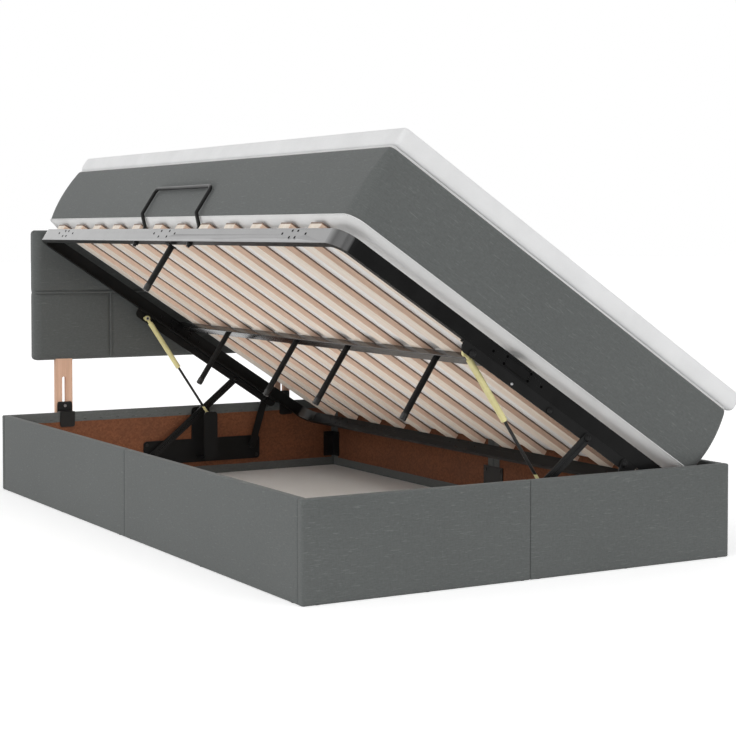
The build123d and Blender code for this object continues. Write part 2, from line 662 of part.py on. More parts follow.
# Arms, foot side, in world coordinates at the raised pose
def arm_blank(foot, tip):
    length = hypot(tip[0] - foot[0], tip[1] - foot[1])
    turn = heading(foot, tip)
    middle = ((foot[0] + tip[0]) / 2, -(ARM_OUT + ARM_IN) / 2, (foot[1] + tip[1]) / 2)
    strip = Box(length, ARM_THICKNESS, ARM_WIDTH)
    body = Location(middle, (0, -turn, 0)) * strip
    for x, z in (foot, tip):
        body += rod_y(ARM_WIDTH / 2, -ARM_OUT, -ARM_IN, x, z)
    return body - rod_y(PIN_RADIUS + RUNNING_GAP, -ARM_OUT - OVERRUN, -ARM_IN + OVERRUN, *foot)


def long_arm():
    hole = rod_y(PIN_RADIUS + RUNNING_GAP, -ARM_OUT - OVERRUN, -ARM_IN + OVERRUN, *LONG_TOP)
    return arm_blank(LONG_FOOT, LONG_TOP) - hole


def short_arm():
    body = arm_blank(SHORT_FOOT, SHORT_TOP)
    body += rod_y(PIN_HEAD_RADIUS, -ARM_OUT - PIN_HEAD_HEIGHT, -ARM_OUT, *SHORT_TOP)
    boss_end = -BAR_OUT - OPEN_PIVOT_GAP
    return body + rod_y(NUT_RADIUS, -ARM_IN, boss_end, *SHORT_TOP)


def base_bracket():
    wall = (-SIDE_Y, -BRACKET_IN)
    main = block(BRACKET_LEFT, BRACKET_RIGHT, *wall, BRACKET_LOW, BRACKET_TOP)
    main = fillet(main.edges().filter_by(Axis.Y), BRACKET_ROUND)
    join_half = JOIN_PLATE_LENGTH / 2 + FOOT_JOIN_CLEAR
    join_top = FOOT_JOIN_HIGH + FOOT_JOIN_CLEAR
    main -= block(-join_half, join_half, -SIDE_Y - OVERRUN, -BRACKET_IN + OVERRUN, 0, join_top)
    tower = block(TOWER_LEFT, TOWER_RIGHT, *wall, BRACKET_LOW, TOWER_TOP)
    tower = fillet(tower.edges().filter_by(Axis.Y).group_by(Axis.Z)[-1], BRACKET_ROUND)
    upright_in = -SIDE_Y + UPRIGHT_IN
    shelf_top = SHELF_LOW + SHELF_THICKNESS
    span = (STRUT_FOOT_X - SHELF_HALF, STRUT_FOOT_X + SHELF_HALF)
    shelf = block(*span, -BRACKET_IN, upright_in, SHELF_LOW, shelf_top)
    top = STRUT_FOOT_Z + UPRIGHT_TOP_MARGIN
    face = (upright_in, upright_in + SHELF_THICKNESS)
    upright = block(*span, *face, SHELF_LOW, top)
    upright = fillet(upright.edges().filter_by(Axis.Y).group_by(Axis.Z)[-1], BRACKET_ROUND)
    body = main + tower + shelf + upright
    for x, z in (LONG_FOOT, SHORT_FOOT):
        body += rod_y(SPACER_RADIUS, -BRACKET_IN, -ARM_OUT - LAYER_GAP / 2, x, z)
        body += rod_y(PIN_RADIUS, -BRACKET_IN, -ARM_IN + PIN_HEAD_HEIGHT / 2, x, z)
        cap = (-ARM_IN + LAYER_GAP / 2, -ARM_IN + LAYER_GAP / 2 + PIN_HEAD_HEIGHT)
        body += rod_y(NUT_RADIUS, *cap, x, z)
    eye_out = -STRUT_Y - EYE_WIDTH / 2
    stud_end = eye_out - LAYER_GAP / 2
    body += rod_y(STUD_RADIUS, stud_end, upright_in, STRUT_FOOT_X, STRUT_FOOT_Z)
    return body + rod_y(STUD_HEAD_RADIUS, stud_end - STUD_HEAD_HEIGHT, stud_end, STRUT_FOOT_X, STRUT_FOOT_Z)


# Gas strut built along +X from its foot, then turned onto the raised pose
STRUT_POSE = Location((STRUT_FOOT_X, -STRUT_Y, STRUT_FOOT_Z), (0, -heading(STRUT_FOOT, STRUT_TOP), 0))


def strut_rod():
    eye = rod_y(EYE_RADIUS, -EYE_WIDTH / 2, EYE_WIDTH / 2, 0, 0)
    body = eye + rod_x(ROD_RADIUS, 0, ROD_LENGTH, 0, 0)
    body += rod_x(STRUT_FITTING_RADIUS, 0, ROD_FITTING_LENGTH, 0, 0)
    hole = rod_y(STUD_RADIUS + RUNNING_GAP, -EYE_WIDTH, EYE_WIDTH, 0, 0)
    return STRUT_POSE * (body - hole)


def strut_cylinder():
    tip = STRUT_OPEN_LENGTH
    end = tip - STRUT_FITTING_LENGTH
    start = CYLINDER_START
    tube = rod_x(CYLINDER_RADIUS, start, end, 0, 0)
    tube = fillet(tube.edges().filter_by(GeomType.CIRCLE), CYLINDER_END_ROUND)
    tube += rod_x(STRUT_FITTING_RADIUS, end, tip, 0, 0)
    tube += rod_y(EYE_RADIUS, -EYE_WIDTH / 2, EYE_WIDTH / 2, tip, 0)
    tube -= rod_x(CYLINDER_BORE, start + GLAND_LENGTH, end - CYLINDER_END_WALL, 0, 0)
    bore_end = tip - ROD_TIP_MARGIN + RUNNING_GAP
    tube -= rod_x(ROD_RADIUS + RUNNING_GAP, start - OVERRUN, bore_end, 0, 0)
    pin_end = STRUT_Y - BAR_IN + OPEN_PIVOT_GAP
    return STRUT_POSE * (tube + rod_y(STUD_RADIUS, pin_end, 0, tip, 0))


# Headboard
def head_plan():
    half = HEAD_WIDTH / 2
    front_half = half - HEAD_SIDE_ROUND
    side_y = HEAD_FRONT_Y + HEAD_CROWN
    back_y = HEAD_BACK_Y
    r = HEAD_SIDE_ROUND
    k = r * (1 - sqrt(0.5))
    b = HEAD_EDGE_ROUND
    lines = [
        ThreePointArc((-front_half, side_y), (0, HEAD_FRONT_Y), (front_half, side_y)),
        ThreePointArc((front_half, side_y), (half - k, side_y + k), (half, side_y + r)),
        Line((half, side_y + r), (half, back_y - b)),
        Line((half, back_y - b), (half - b, back_y)),
        Line((half - b, back_y), (b - half, back_y)),
        Line((b - half, back_y), (-half, back_y - b)),
        Line((-half, back_y - b), (-half, side_y + r)),
        ThreePointArc((-half, side_y + r), (k - half, side_y + k), (-front_half, side_y)),
    ]
    return make_face(Curve() + lines)


def front_y(x):
    """Front surface of the headboard at this x, on its shallow arc."""
    half = HEAD_WIDTH / 2 - HEAD_SIDE_ROUND
    radius = (half ** 2 + HEAD_CROWN ** 2) / (2 * HEAD_CROWN)
    return HEAD_FRONT_Y + radius - sqrt(radius ** 2 - x ** 2)


def head_piping():
    """Raised cord across the front at the seam, and one down from it on each side."""
    half = HEAD_WIDTH / 2 - HEAD_SIDE_ROUND - PIPE_RADIUS
    out_y = front_y(half) - PIPE_PROUD
    back_y = front_y(half) + PIPE_RADIUS
    lines = [
        ThreePointArc((-half, out_y), (0, HEAD_FRONT_Y - PIPE_PROUD), (half, out_y)),
        Line((half, out_y), (half, back_y)),
        Line((half, back_y), (-half, back_y)),
        Line((-half, back_y), (-half, out_y)),
    ]
    band = extrude(Plane.XY.offset(SEAM_HEIGHT - PIPE_RADIUS) * make_face(Curve() + lines), 2 * PIPE_RADIUS)
    face = band.faces().sort_by(Axis.Y)[0]
    curved = [edge for edge in face.edges() if abs((edge % 0.5).X) > 0.5]
    band = fillet(curved, PIPE_ROUND)
    for s in (-1, 1):
        band += rod_z(PIPE_RADIUS, HEAD_LOW, SEAM_HEIGHT, s * SEAM_X, front_y(SEAM_X) + PIPE_SINK)
    return band


def headboard():
    body = extrude(Plane.XY.offset(HEAD_LOW) * head_plan(), HEAD_TOP - HEAD_LOW)
    core_y1 = CORE_Y + CORE_THICKNESS
    half = HEAD_WIDTH / 2 - CORE_MARGIN
    core = block(-half, half, CORE_Y, core_y1, HEAD_LOW + CORE_MARGIN, HEAD_TOP - CORE_MARGIN)
    legs = {}
    for name, s in (("left", -1), ("right", 1)):
        legs[name] = headboard_leg(s * LEG_X)
        low, high = LEG_LOW, LEG_HIGH
        x0, x1 = s * LEG_X - LEG_WIDTH / 2, s * LEG_X + LEG_WIDTH / 2
        notch = block(x0, x1, CORE_Y, core_y1, low, high)
        core -= notch
        body -= block(x0, x1, CORE_Y, core_y1, low, high)
    cover = body - block(-half, half, CORE_Y, core_y1, HEAD_LOW + CORE_MARGIN, HEAD_TOP - CORE_MARGIN)
    return core, cover + head_piping(), legs


def headboard_leg(x):
    half = LEG_WIDTH / 2
    y0, y1 = CORE_Y, CORE_Y + CORE_THICKNESS
    body = block(x - half, x + half, y0, y1, LEG_LOW, LEG_HIGH)
    low_edges = body.edges().filter_by(Axis.Y).group_by(Axis.Z)[0]
    body = fillet(low_edges, LEG_END_ROUND)
    r = LEG_SLOT_WIDTH / 2
    slot = block(x - r, x + r, y0 - OVERRUN, y1 + OVERRUN, LEG_SLOT_LOW + r, LEG_SLOT_HIGH - r)
    for z in (LEG_SLOT_LOW + r, LEG_SLOT_HIGH - r):
        slot += rod_y(r, y0 - OVERRUN, y1 + OVERRUN, x, z)
    return body - slot


def head_hooks():
    outer_y = BOX_LENGTH / 2
    hooks, bolts = [], []
    half = HOOK_WIDTH / 2
    for x in (-LEG_X, LEG_X):
        span = (x - half, x + half)
        y_in = SIDE_Y - PLATE_THICKNESS
        y_out = outer_y + PLATE_THICKNESS
        over = BOX_HEIGHT + PLATE_THICKNESS
        inner = block(*span, y_in, SIDE_Y, BOX_HEIGHT - HOOK_INNER_DROP, over)
        inner = fillet(inner.edges().filter_by(Axis.Y).group_by(Axis.Z)[0], HOOK_ROUND)
        outer_z = (BOX_HEIGHT - HOOK_OUTER_DROP, BOX_HEIGHT + HOOK_OUTER_RISE)
        outer = block(*span, outer_y, y_out, *outer_z)
        outer = fillet(outer.edges().filter_by(Axis.Y), HOOK_ROUND)
        bridge = block(*span, y_in, y_out, BOX_HEIGHT, over)
        hook = inner + bridge + outer
        bolt_end = CORE_Y + CORE_THICKNESS + CLAMP_CLEARANCE
        bolt = rod_y(CLAMP_RADIUS, outer_y, bolt_end, x, CLAMP_Z)
        hooks.append(hook - bolt)
        bolt += rod_y(CLAMP_HEAD_RADIUS, outer_y - CLAMP_HEAD_HEIGHT, outer_y, x, CLAMP_Z)
        bolt += rod_y(CLAMP_WASHER_RADIUS, bolt_end, bolt_end + CLAMP_HEAD_HEIGHT, x, CLAMP_Z)
        bolts.append(bolt)
    return group(hooks), group(bolts)


def build():
    base_panels()
    save("glides", glides())
    save("floor_sheets", floor_sheets())
    plates, joins, bolts = box_hardware()
    save("corner_brackets", plates)
    save("joining_plates", joins)
    save("panel_bolts", bolts)
    for name, rail in frame_rails().items():
        save(name, OPEN_POSE * rail)
    save("centre_beam", OPEN_POSE * centre_beam())
    legs, caps = support_legs()
    save("support_legs", OPEN_POSE * legs)
    save("leg_caps", OPEN_POSE * caps)
    for n in range(SLAT_COUNT):
        save(f"slat_{n + 1:02d}", OPEN_POSE * slat(n))
    save("retainer_loop", OPEN_POSE * retainer_loop())
    save("mattress", OPEN_POSE * mattress())
    save("topper", OPEN_POSE * topper())
    save("lift_bar_bolts", OPEN_POSE * lift_bar_bolts())
    save("lift_bar_foot", OPEN_POSE * lift_bar())
    save("lift_bar_head", OPEN_POSE * mirrored(lift_bar()))
    pieces = {
        "base_bracket": base_bracket(),
        "long_arm": long_arm(),
        "short_arm": short_arm(),
        "strut_rod": strut_rod(),
        "strut_cylinder": strut_cylinder(),
    }
    for name, piece in pieces.items():
        save(f"{name}_foot", piece)
        save(f"{name}_head", mirrored(piece))
    core, cover, legs = headboard()
    save("headboard_core", core)
    save("headboard_cover", cover)
    for name, leg in legs.items():
        save(f"headboard_leg_{name}", leg)
    hooks, bolts = head_hooks()
    save("headboard_hooks", hooks)
    save("clamp_bolts", bolts)


build()
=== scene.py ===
import math

import bmesh
import bpy
from mathutils import Matrix, Vector, noise


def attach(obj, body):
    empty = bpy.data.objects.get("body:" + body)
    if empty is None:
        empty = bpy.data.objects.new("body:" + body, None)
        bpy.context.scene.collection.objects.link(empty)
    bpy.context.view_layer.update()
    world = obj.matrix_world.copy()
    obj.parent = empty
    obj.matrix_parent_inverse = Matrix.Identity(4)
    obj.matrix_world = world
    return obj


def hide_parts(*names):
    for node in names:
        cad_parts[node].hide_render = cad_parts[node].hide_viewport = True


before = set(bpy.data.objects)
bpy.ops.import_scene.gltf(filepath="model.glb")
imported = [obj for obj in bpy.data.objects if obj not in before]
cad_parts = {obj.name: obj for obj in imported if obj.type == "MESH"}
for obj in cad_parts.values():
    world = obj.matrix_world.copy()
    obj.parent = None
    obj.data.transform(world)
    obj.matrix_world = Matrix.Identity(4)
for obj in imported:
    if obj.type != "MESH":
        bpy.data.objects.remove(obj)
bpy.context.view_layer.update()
scene = bpy.context.scene

# Main sizes in metres, from the part's source or within a few millimetres of it
TILT = math.radians(33.3)
FRAME_WIDTH = 1.136
HINGE_CORNER = (0.4547, 0.1614)
FREE = (
    HINGE_CORNER[0] - FRAME_WIDTH * math.cos(TILT),
    HINGE_CORNER[1] + FRAME_WIDTH * math.sin(TILT),
)
PLATFORM = Matrix.Translation((FREE[0], 0, FREE[1])) @ Matrix.Rotation(TILT, 4, "Y")
SLAT_TOP = 0.056
MATTRESS_TOP = 0.2585
TOPPER_TOP = 0.3135
BOX_WIDTH = 1.2
BOX_LENGTH = 2.03
BOX_LOW = -0.0003
BOX_HEIGHT = 0.233
PANEL = 0.022

# Mattress and topper, across and along: half size, middle and points per ring side and corner
MATTRESS_HALF = (0.5825, 0.985)
MATTRESS_MIDDLE = 0.5795
MATTRESS_COUNTS = (22, 36, 12)
RIM_HEIGHT = 0.017
SHOULDER = 0.006
BORDER_STEPS = 14
TOPPER_HALF = (0.591, 0.987)
TOPPER_MIDDLE = 0.593
TOPPER_COUNTS = (22, 36, 8)
TOPPER_CROWN = 0.0022
UNEVEN = 0.0014
UNEVEN_SCALE = (2.1, 2.1, 5)
LEAST = 1e-4

# Where the ends of the mattress swell: start below the rim, slope and belly of each side, lean
SWELL_START = 0.014
FREE_SLOPE, FREE_BELLY = 0.003, 0.0045
HINGE_SLOPE, HINGE_BELLY = 0.003, 0.0125
HEAD_LEAN = 0.014

# Base covers: point distance and corner radius, hem and its staples
COVER_STEP = 0.04
COVER_CORNER, LEAST_CORNER = 0.004, 0.0015
HEM_RINGS = 3
HEM_WAVE = 0.0016
STAPLE_STEP = 0.055
STAPLE_END = 0.045
STAPLE_DROP = 0.023
STAPLE_PROUD = 0.0002
STAPLE_LEAN = 0.5
STAPLE_HALF = (0.0055, 0.0004, 0.00055)


# Camera, at the photograph's viewing angle
def make_camera():
    data = bpy.data.cameras.new("camera")
    camera = bpy.data.objects.new("camera", data)
    scene.collection.objects.link(camera)
    data.sensor_width = 36
    data.lens = 86.52
    data.shift_y = -0.0924
    data.clip_end = 100
    camera.location = (-2.3622, -4.3704, 0.8092)
    camera.rotation_euler = (math.radians(90 - 2.206), 0, math.radians(-29.849))
    scene.camera = camera


# Shader helpers
class Graph:
    """Small wrapper that adds nodes to one node tree and wires them up."""

    def __init__(self, tree):
        self.tree = tree

    def add(self, kind, **values):
        node = self.tree.nodes.new(kind)
        for key, value in values.items():
            setattr(node, key, value)
        return node

    def put(self, socket, value):
        if isinstance(value, bpy.types.NodeSocket):
            self.tree.links.new(value, socket)
        else:
            socket.default_value = value

    def math(self, operation, a, b=0.0, c=0.0):
        node = self.add("ShaderNodeMath", operation=operation)
        for socket, value in zip(node.inputs, (a, b, c)):
            self.put(socket, value)
        return node.outputs[0]

    def split(self, vector):
        """Sockets X, Y and Z of a vector."""
        node = self.add("ShaderNodeSeparateXYZ")
        self.put(node.inputs[0], vector)
        return node.outputs

    def blend(self, fac, a, b):
        """A number between a and b."""
        node = self.add("ShaderNodeMix", data_type="FLOAT")
        for key, value in (("Factor", fac), ("A", a), ("B", b)):
            self.put(node.inputs[key], value)
        return node.outputs["Result"]


class Nodes(Graph):
    """The nodes of one material, with the steps that the looks below share."""

    def __init__(self, name):
        self.material = bpy.data.materials.new(name)
        self.material.use_nodes = True
        super().__init__(self.material.node_tree)
        self.shader = self.tree.nodes["Principled BSDF"]
        place = self.add("ShaderNodeTexCoord").outputs
        self.coord, self.normal = place["Object"], place["Normal"]

    def mapped(self, scale=(1, 1, 1), turn=(0, 0, 0)):
        """Object coordinates, turned first and then scaled."""
        vector = self.coord
        for name, value in (("Rotation", turn), ("Scale", scale)):
            node = self.add("ShaderNodeMapping")
            self.put(node.inputs["Vector"], vector)
            node.inputs[name].default_value = value
            vector = node.outputs["Vector"]
        return vector

    def noise(self, vector, scale, detail, rough):
        node = self.add("ShaderNodeTexNoise")
        self.put(node.inputs["Vector"], vector)
        node.inputs["Scale"].default_value = scale
        node.inputs["Detail"].default_value = detail
        node.inputs["Roughness"].default_value = rough
        return node.outputs["Fac"]

    def ramp(self, fac, stops):
        node = self.add("ShaderNodeValToRGB")
        self.put(node.inputs["Fac"], fac)
        marks = node.color_ramp.elements
        while len(marks) < len(stops):
            marks.new(0.5)
        for mark, (place, colour) in zip(marks, stops):
            mark.position = place
            mark.color = (*colour, 1)
        return node.outputs["Color"]

    def mix(self, fac, a, b, blend="MIX"):
        node = self.add("ShaderNodeMix", data_type="RGBA", blend_type=blend)
        self.put(node.inputs["Factor"], fac)
        for socket, value in ((node.inputs["A"], a), (node.inputs["B"], b)):
            self.put(socket, value if isinstance(value, bpy.types.NodeSocket) else (*value, 1))
        return node.outputs["Result"]

    def times(self, a, b):
        return self.mix(1.0, a, b, "MULTIPLY")

    def bump(self, height, strength, distance):
        node = self.add("ShaderNodeBump")
        node.inputs["Strength"].default_value = strength
        node.inputs["Distance"].default_value = distance
        self.put(node.inputs["Height"], height)
        return node.outputs["Normal"]

    def finish(self, **values):
        for key, value in values.items():
            self.put(self.shader.inputs[key.replace("_", " ")], value)
        return self.material


def grey(value):
    return (value, value, value)


def scaled(colour, factor, plus=0.0):
    """Colour times the factor plus an amount, up to white."""
    return tuple(min(1.0, v * factor + plus) for v in colour)


def linen(name, colour, fleck, depth=0.18):
    """Plain woven upholstery: crossing slubby threads, small light flecks, faint shading."""
    n = Nodes(name)
    across = n.noise(n.mapped((90, 90, 1500)), 1.0, 3.0, 0.6)
    upright = n.noise(n.mapped((1300, 1300, 80)), 1.0, 3.0, 0.6)
    threads = n.math("ADD", n.math("MULTIPLY", across, 1.3), n.math("MULTIPLY", upright, 0.7))
    slub = n.noise(n.mapped((40, 40, 40)), 5.0, 4.0, 0.65)
    broad = n.noise(n.mapped(), 3.0, 2.0, 0.5)
    flecks = n.noise(n.mapped((140, 140, 260)), 1.0, 1.0, 0.5)
    streaks = n.noise(n.mapped((38, 38, 520)), 1.0, 1.0, 0.5)
    dark = scaled(colour, 0.84)
    light = scaled(colour, 1.13)
    base = n.ramp(n.math("MULTIPLY", threads, 0.5), [(0.36, dark), (0.64, light)])
    shade = n.ramp(slub, [(0.3, grey(0.93)), (0.7, grey(1.06))])
    base = n.times(base, shade)
    shade = n.ramp(broad, [(0.3, grey(0.965)), (0.7, grey(1.03))])
    base = n.times(base, shade)
    spots = n.ramp(flecks, [(0.70, grey(0)), (0.76, grey(1))])
    base = n.mix(n.math("MULTIPLY", spots, 0.12), base, fleck)
    long_slub = n.ramp(streaks, [(0.66, grey(1.0)), (0.74, grey(1.32))])
    base = n.times(base, long_slub)
    normal = n.bump(threads, depth, 0.0006)
    rough = n.ramp(threads, [(0.3, grey(0.94)), (0.8, grey(0.84))])
    n.finish(Base_Color=base, Roughness=rough, Normal=normal)
    return n.finish(Sheen_Weight=0.12, Sheen_Roughness=0.5, Specular_IOR_Level=0.2)


def knit(name, colour, scale=700):
    """Fine pale jersey: short ribs and a soft mottle."""
    n = Nodes(name)
    ribs = n.noise(n.mapped((scale, scale * 0.35, scale)), 1.0, 2.0, 0.6)
    mottle = n.noise(n.mapped(), 9.0, 3.0, 0.55)
    low = scaled(colour, 0.95)
    high = scaled(colour, 1.03)
    base = n.ramp(mottle, [(0.3, low), (0.7, high)])
    fine = n.ramp(ribs, [(0.3, grey(0.97)), (0.7, grey(1.01))])
    base = n.times(base, fine)
    normal = n.bump(ribs, 0.2, 0.0008)
    rough = n.ramp(ribs, [(0.2, grey(0.96)), (0.9, grey(0.86))])
    n.finish(Base_Color=base, Roughness=rough, Normal=normal)
    return n.finish(Sheen_Weight=0.1, Specular_IOR_Level=0.2)


def paint(name, colour, rough, wear, ior=1.5, coat=0.0):
    """Powder-coated steel: fine orange peel and a slightly varying gloss."""
    n = Nodes(name)
    peel = n.noise(n.mapped(), 900.0, 2.0, 0.5)
    smear = n.noise(n.mapped(), 14.0, 4.0, 0.6)
    low = scaled(colour, 0.85)
    high = scaled(colour, 1.2, wear)
    base = n.ramp(smear, [(0.35, low), (0.75, high)])
    gloss = n.ramp(smear, [(0.3, grey(rough * 0.85)), (0.75, grey(rough * 1.2))])
    normal = n.bump(peel, 0.06, 0.0004)
    n.finish(Base_Color=base, Roughness=gloss, Normal=normal)
    return n.finish(IOR=ior, Coat_Weight=coat, Coat_Roughness=0.12)


def rail_paint(name):
    """Black enamel with a painted reflection: it mirrors only where it faces the free side, with a
    painted highlight band toward the corner, and is flat black elsewhere.
    """
    n = Nodes(name)
    smear = n.noise(n.mapped(), 14.0, 4.0, 0.6)
    facing = n.split(n.normal)
    toward = n.math("MULTIPLY", facing["X"], -math.cos(TILT))
    toward = n.math("MULTIPLY_ADD", facing["Z"], math.sin(TILT), toward)
    # Painted reflection: the specular level and the coat follow the face's direction, not the
    # enamel itself
    steps = ((0.22, 0.05), (0.34, 0.75), (0.62, 0.9), (0.9, 0.5))
    painted_reflection = n.ramp(toward, [(place, grey(value)) for place, value in steps])
    coat = n.ramp(toward, [(0.25, grey(0.0)), (0.45, grey(0.3))])
    gloss = n.ramp(smear, [(0.3, grey(0.29)), (0.75, grey(0.35))])
    base = n.ramp(smear, [(0.35, grey(0.009)), (0.75, grey(0.013))])
    n.finish(Base_Color=base, Roughness=gloss, Specular_IOR_Level=painted_reflection, Coat_Weight=coat)
    return n.finish(IOR=1.8, Coat_Roughness=0.15)


def wood(name, pale, dark, turn):
    """Planed timber with grain along local X after the turn."""
    n = Nodes(name)
    rings = n.noise(n.mapped((2.2, 60, 60), turn), 1.0, 5.0, 0.62)
    bend = n.noise(n.mapped((0.8, 6, 6), turn), 1.0, 2.0, 0.5)
    fibre = n.noise(n.mapped((12, 900, 900), turn), 1.0, 2.0, 0.5)
    grain = n.math("ADD", n.math("MULTIPLY", rings, 0.75), n.math("MULTIPLY", bend, 0.25))
    middle = tuple((a + b) / 2 for a, b in zip(pale, dark))
    base = n.ramp(grain, [(0.34, dark), (0.5, middle), (0.64, pale)])
    shade = n.ramp(fibre, [(0.3, grey(0.93)), (0.7, grey(1.03))])
    base = n.times(base, shade)
    gloss = n.ramp(grain, [(0.3, grey(0.74)), (0.7, grey(0.62))])
    n.finish(Base_Color=base, Roughness=gloss, Normal=n.bump(fibre, 0.15, 0.0005))
    return n.finish(Specular_IOR_Level=0.35)


def rod_with_fitting(name):
    """Black strut rod whose lower end fitting is cream like the cylinder."""
    n = Nodes(name)
    low = n.math("LESS_THAN", n.split(n.coord)["Z"], FITTING_TOP)
    smear = n.noise(n.mapped(), 30.0, 3.0, 0.5)
    base = n.mix(low, grey(0.010), FITTING_CREAM)
    gloss = n.ramp(smear, [(0.3, grey(0.26)), (0.75, grey(0.36))])
    return n.finish(Base_Color=base, Roughness=gloss)


def slat_timber(name):
    """Planed slat: cream faces, long sides painted pinker as their shade, and a painted contact
    shadow as a dark line where the mattress lies on it.
    """
    n = Nodes(name)
    rings = n.noise(n.mapped((2.2, 60, 60), ALONG), 1.0, 5.0, 0.62)
    fibre = n.noise(n.mapped((12, 900, 900), ALONG), 1.0, 2.0, 0.5)
    face = n.ramp(rings, [(0.36, (0.79, 0.68, 0.57)), (0.64, (0.87, 0.79, 0.70))])
    # Painted shade: faces turned toward the foot or the head get this pinker shaded colour
    side = n.ramp(rings, [(0.36, (0.82, 0.59, 0.45)), (0.64, (0.93, 0.71, 0.56))])
    turned = n.math("ABSOLUTE", n.split(n.normal)["Y"])
    base = n.mix(n.ramp(turned, [(0.45, grey(0)), (0.6, grey(1))]), face, side)
    # Painted contact shadow: a dark band along the top of the slats, where the mattress lies on
    # them
    place = n.split(n.coord)
    high = n.math("MULTIPLY", place["Z"], math.cos(TILT))
    high = n.math("MULTIPLY_ADD", place["X"], math.sin(TILT), high)
    top = FREE[0] * math.sin(TILT) + FREE[1] * math.cos(TILT) + SLAT_TOP
    contact_shadow = n.math("GREATER_THAN", high, top - SLAT_SHADOW_LINE)
    base = n.mix(n.math("MULTIPLY", contact_shadow, 0.85), base, (0.11, 0.055, 0.035))
    shade = n.ramp(fibre, [(0.3, grey(0.94)), (0.7, grey(1.02))])
    base = n.times(base, shade)
    gloss = n.ramp(rings, [(0.3, grey(0.7)), (0.7, grey(0.58))])
    n.finish(Base_Color=base, Roughness=gloss, Normal=n.bump(fibre, 0.12, 0.0005))
    return n.finish(Specular_IOR_Level=0.3)


def chipboard(name, pale, dark):
    """Raw particle board: flat chips of several browns."""
    n = Nodes(name)
    cells = n.add("ShaderNodeTexVoronoi")
    n.put(cells.inputs["Vector"], n.mapped())
    cells.inputs["Scale"].default_value = 190.0
    pick = n.add("ShaderNodeSeparateColor")
    n.put(pick.inputs["Color"], cells.outputs["Color"])
    broad = n.noise(n.mapped(), 7.0, 3.0, 0.6)
    base = n.ramp(pick.outputs["Red"], [(0.0, dark), (1.0, pale)])
    shade = n.ramp(broad, [(0.3, grey(0.85)), (0.7, grey(1.1))])
    base = n.times(base, shade)
    normal = n.bump(pick.outputs["Red"], 0.15, 0.0006)
    rough = n.ramp(broad, [(0.3, grey(0.8)), (0.7, grey(0.9))])
    return n.finish(Base_Color=base, Roughness=rough, Normal=normal)


def coated_board(name, colour, rough):
    """White-coated hardboard: nearly even, with a fine print of the fibre below."""
    n = Nodes(name)
    fibre = n.noise(n.mapped(), 260.0, 3.0, 0.6)
    broad = n.noise(n.mapped(), 4.0, 2.0, 0.5)
    base = n.ramp(fibre, [(0.3, scaled(colour, 0.97)), (0.7, colour)])
    shade = n.ramp(broad, [(0.3, grey(0.975)), (0.7, grey(1.0))])
    base = n.times(base, shade)
    gloss = n.ramp(fibre, [(0.3, grey(rough * 1.1)), (0.7, grey(rough))])
    return n.finish(Base_Color=base, Roughness=gloss, Normal=n.bump(fibre, 0.06, 0.0003))


def plastic(name, colour, rough, specular=0.5):
    """Moulded plastic: fine pores and a slightly varying gloss."""
    n = Nodes(name)
    pores = n.noise(n.mapped(), 700.0, 2.0, 0.5)
    smear = n.noise(n.mapped(), 30.0, 3.0, 0.5)
    base = n.ramp(smear, [(0.3, scaled(colour, 0.85)), (0.7, scaled(colour, 1.2))])
    gloss = n.ramp(smear, [(0.3, grey(rough * 0.85)), (0.7, grey(rough * 1.15))])
    n.finish(Base_Color=base, Roughness=gloss, Normal=n.bump(pores, 0.1, 0.0004))
    return n.finish(Specular_IOR_Level=specular)


def steel(name, colour, rough):
    """Zinc-plated or turned steel with fine scratches."""
    n = Nodes(name)
    lines = n.noise(n.mapped((60, 60, 1400)), 1.0, 3.0, 0.6)
    low = scaled(colour, 0.82)
    high = scaled(colour, 1.1)
    base = n.ramp(lines, [(0.3, low), (0.7, high)])
    gloss = n.ramp(lines, [(0.3, grey(rough * 1.2)), (0.7, grey(rough * 0.85))])
    n.finish(Base_Color=base, Roughness=gloss, Normal=n.bump(lines, 0.08, 0.0003))
    return n.finish(Metallic=1.0)


# Upholstery colour, colour and top of the strut's end fitting, height of the slats' painted contact
# shadow line
GREY = (0.128, 0.136, 0.133)
FITTING_CREAM = (0.74, 0.68, 0.34)
FITTING_TOP = 0.234
SLAT_SHADOW_LINE = 0.0042

# Turns that lay a material's X along the slats and along the headboard legs
ALONG = (0, -TILT, 0)
UPRIGHT = (0, math.pi / 2, 0)

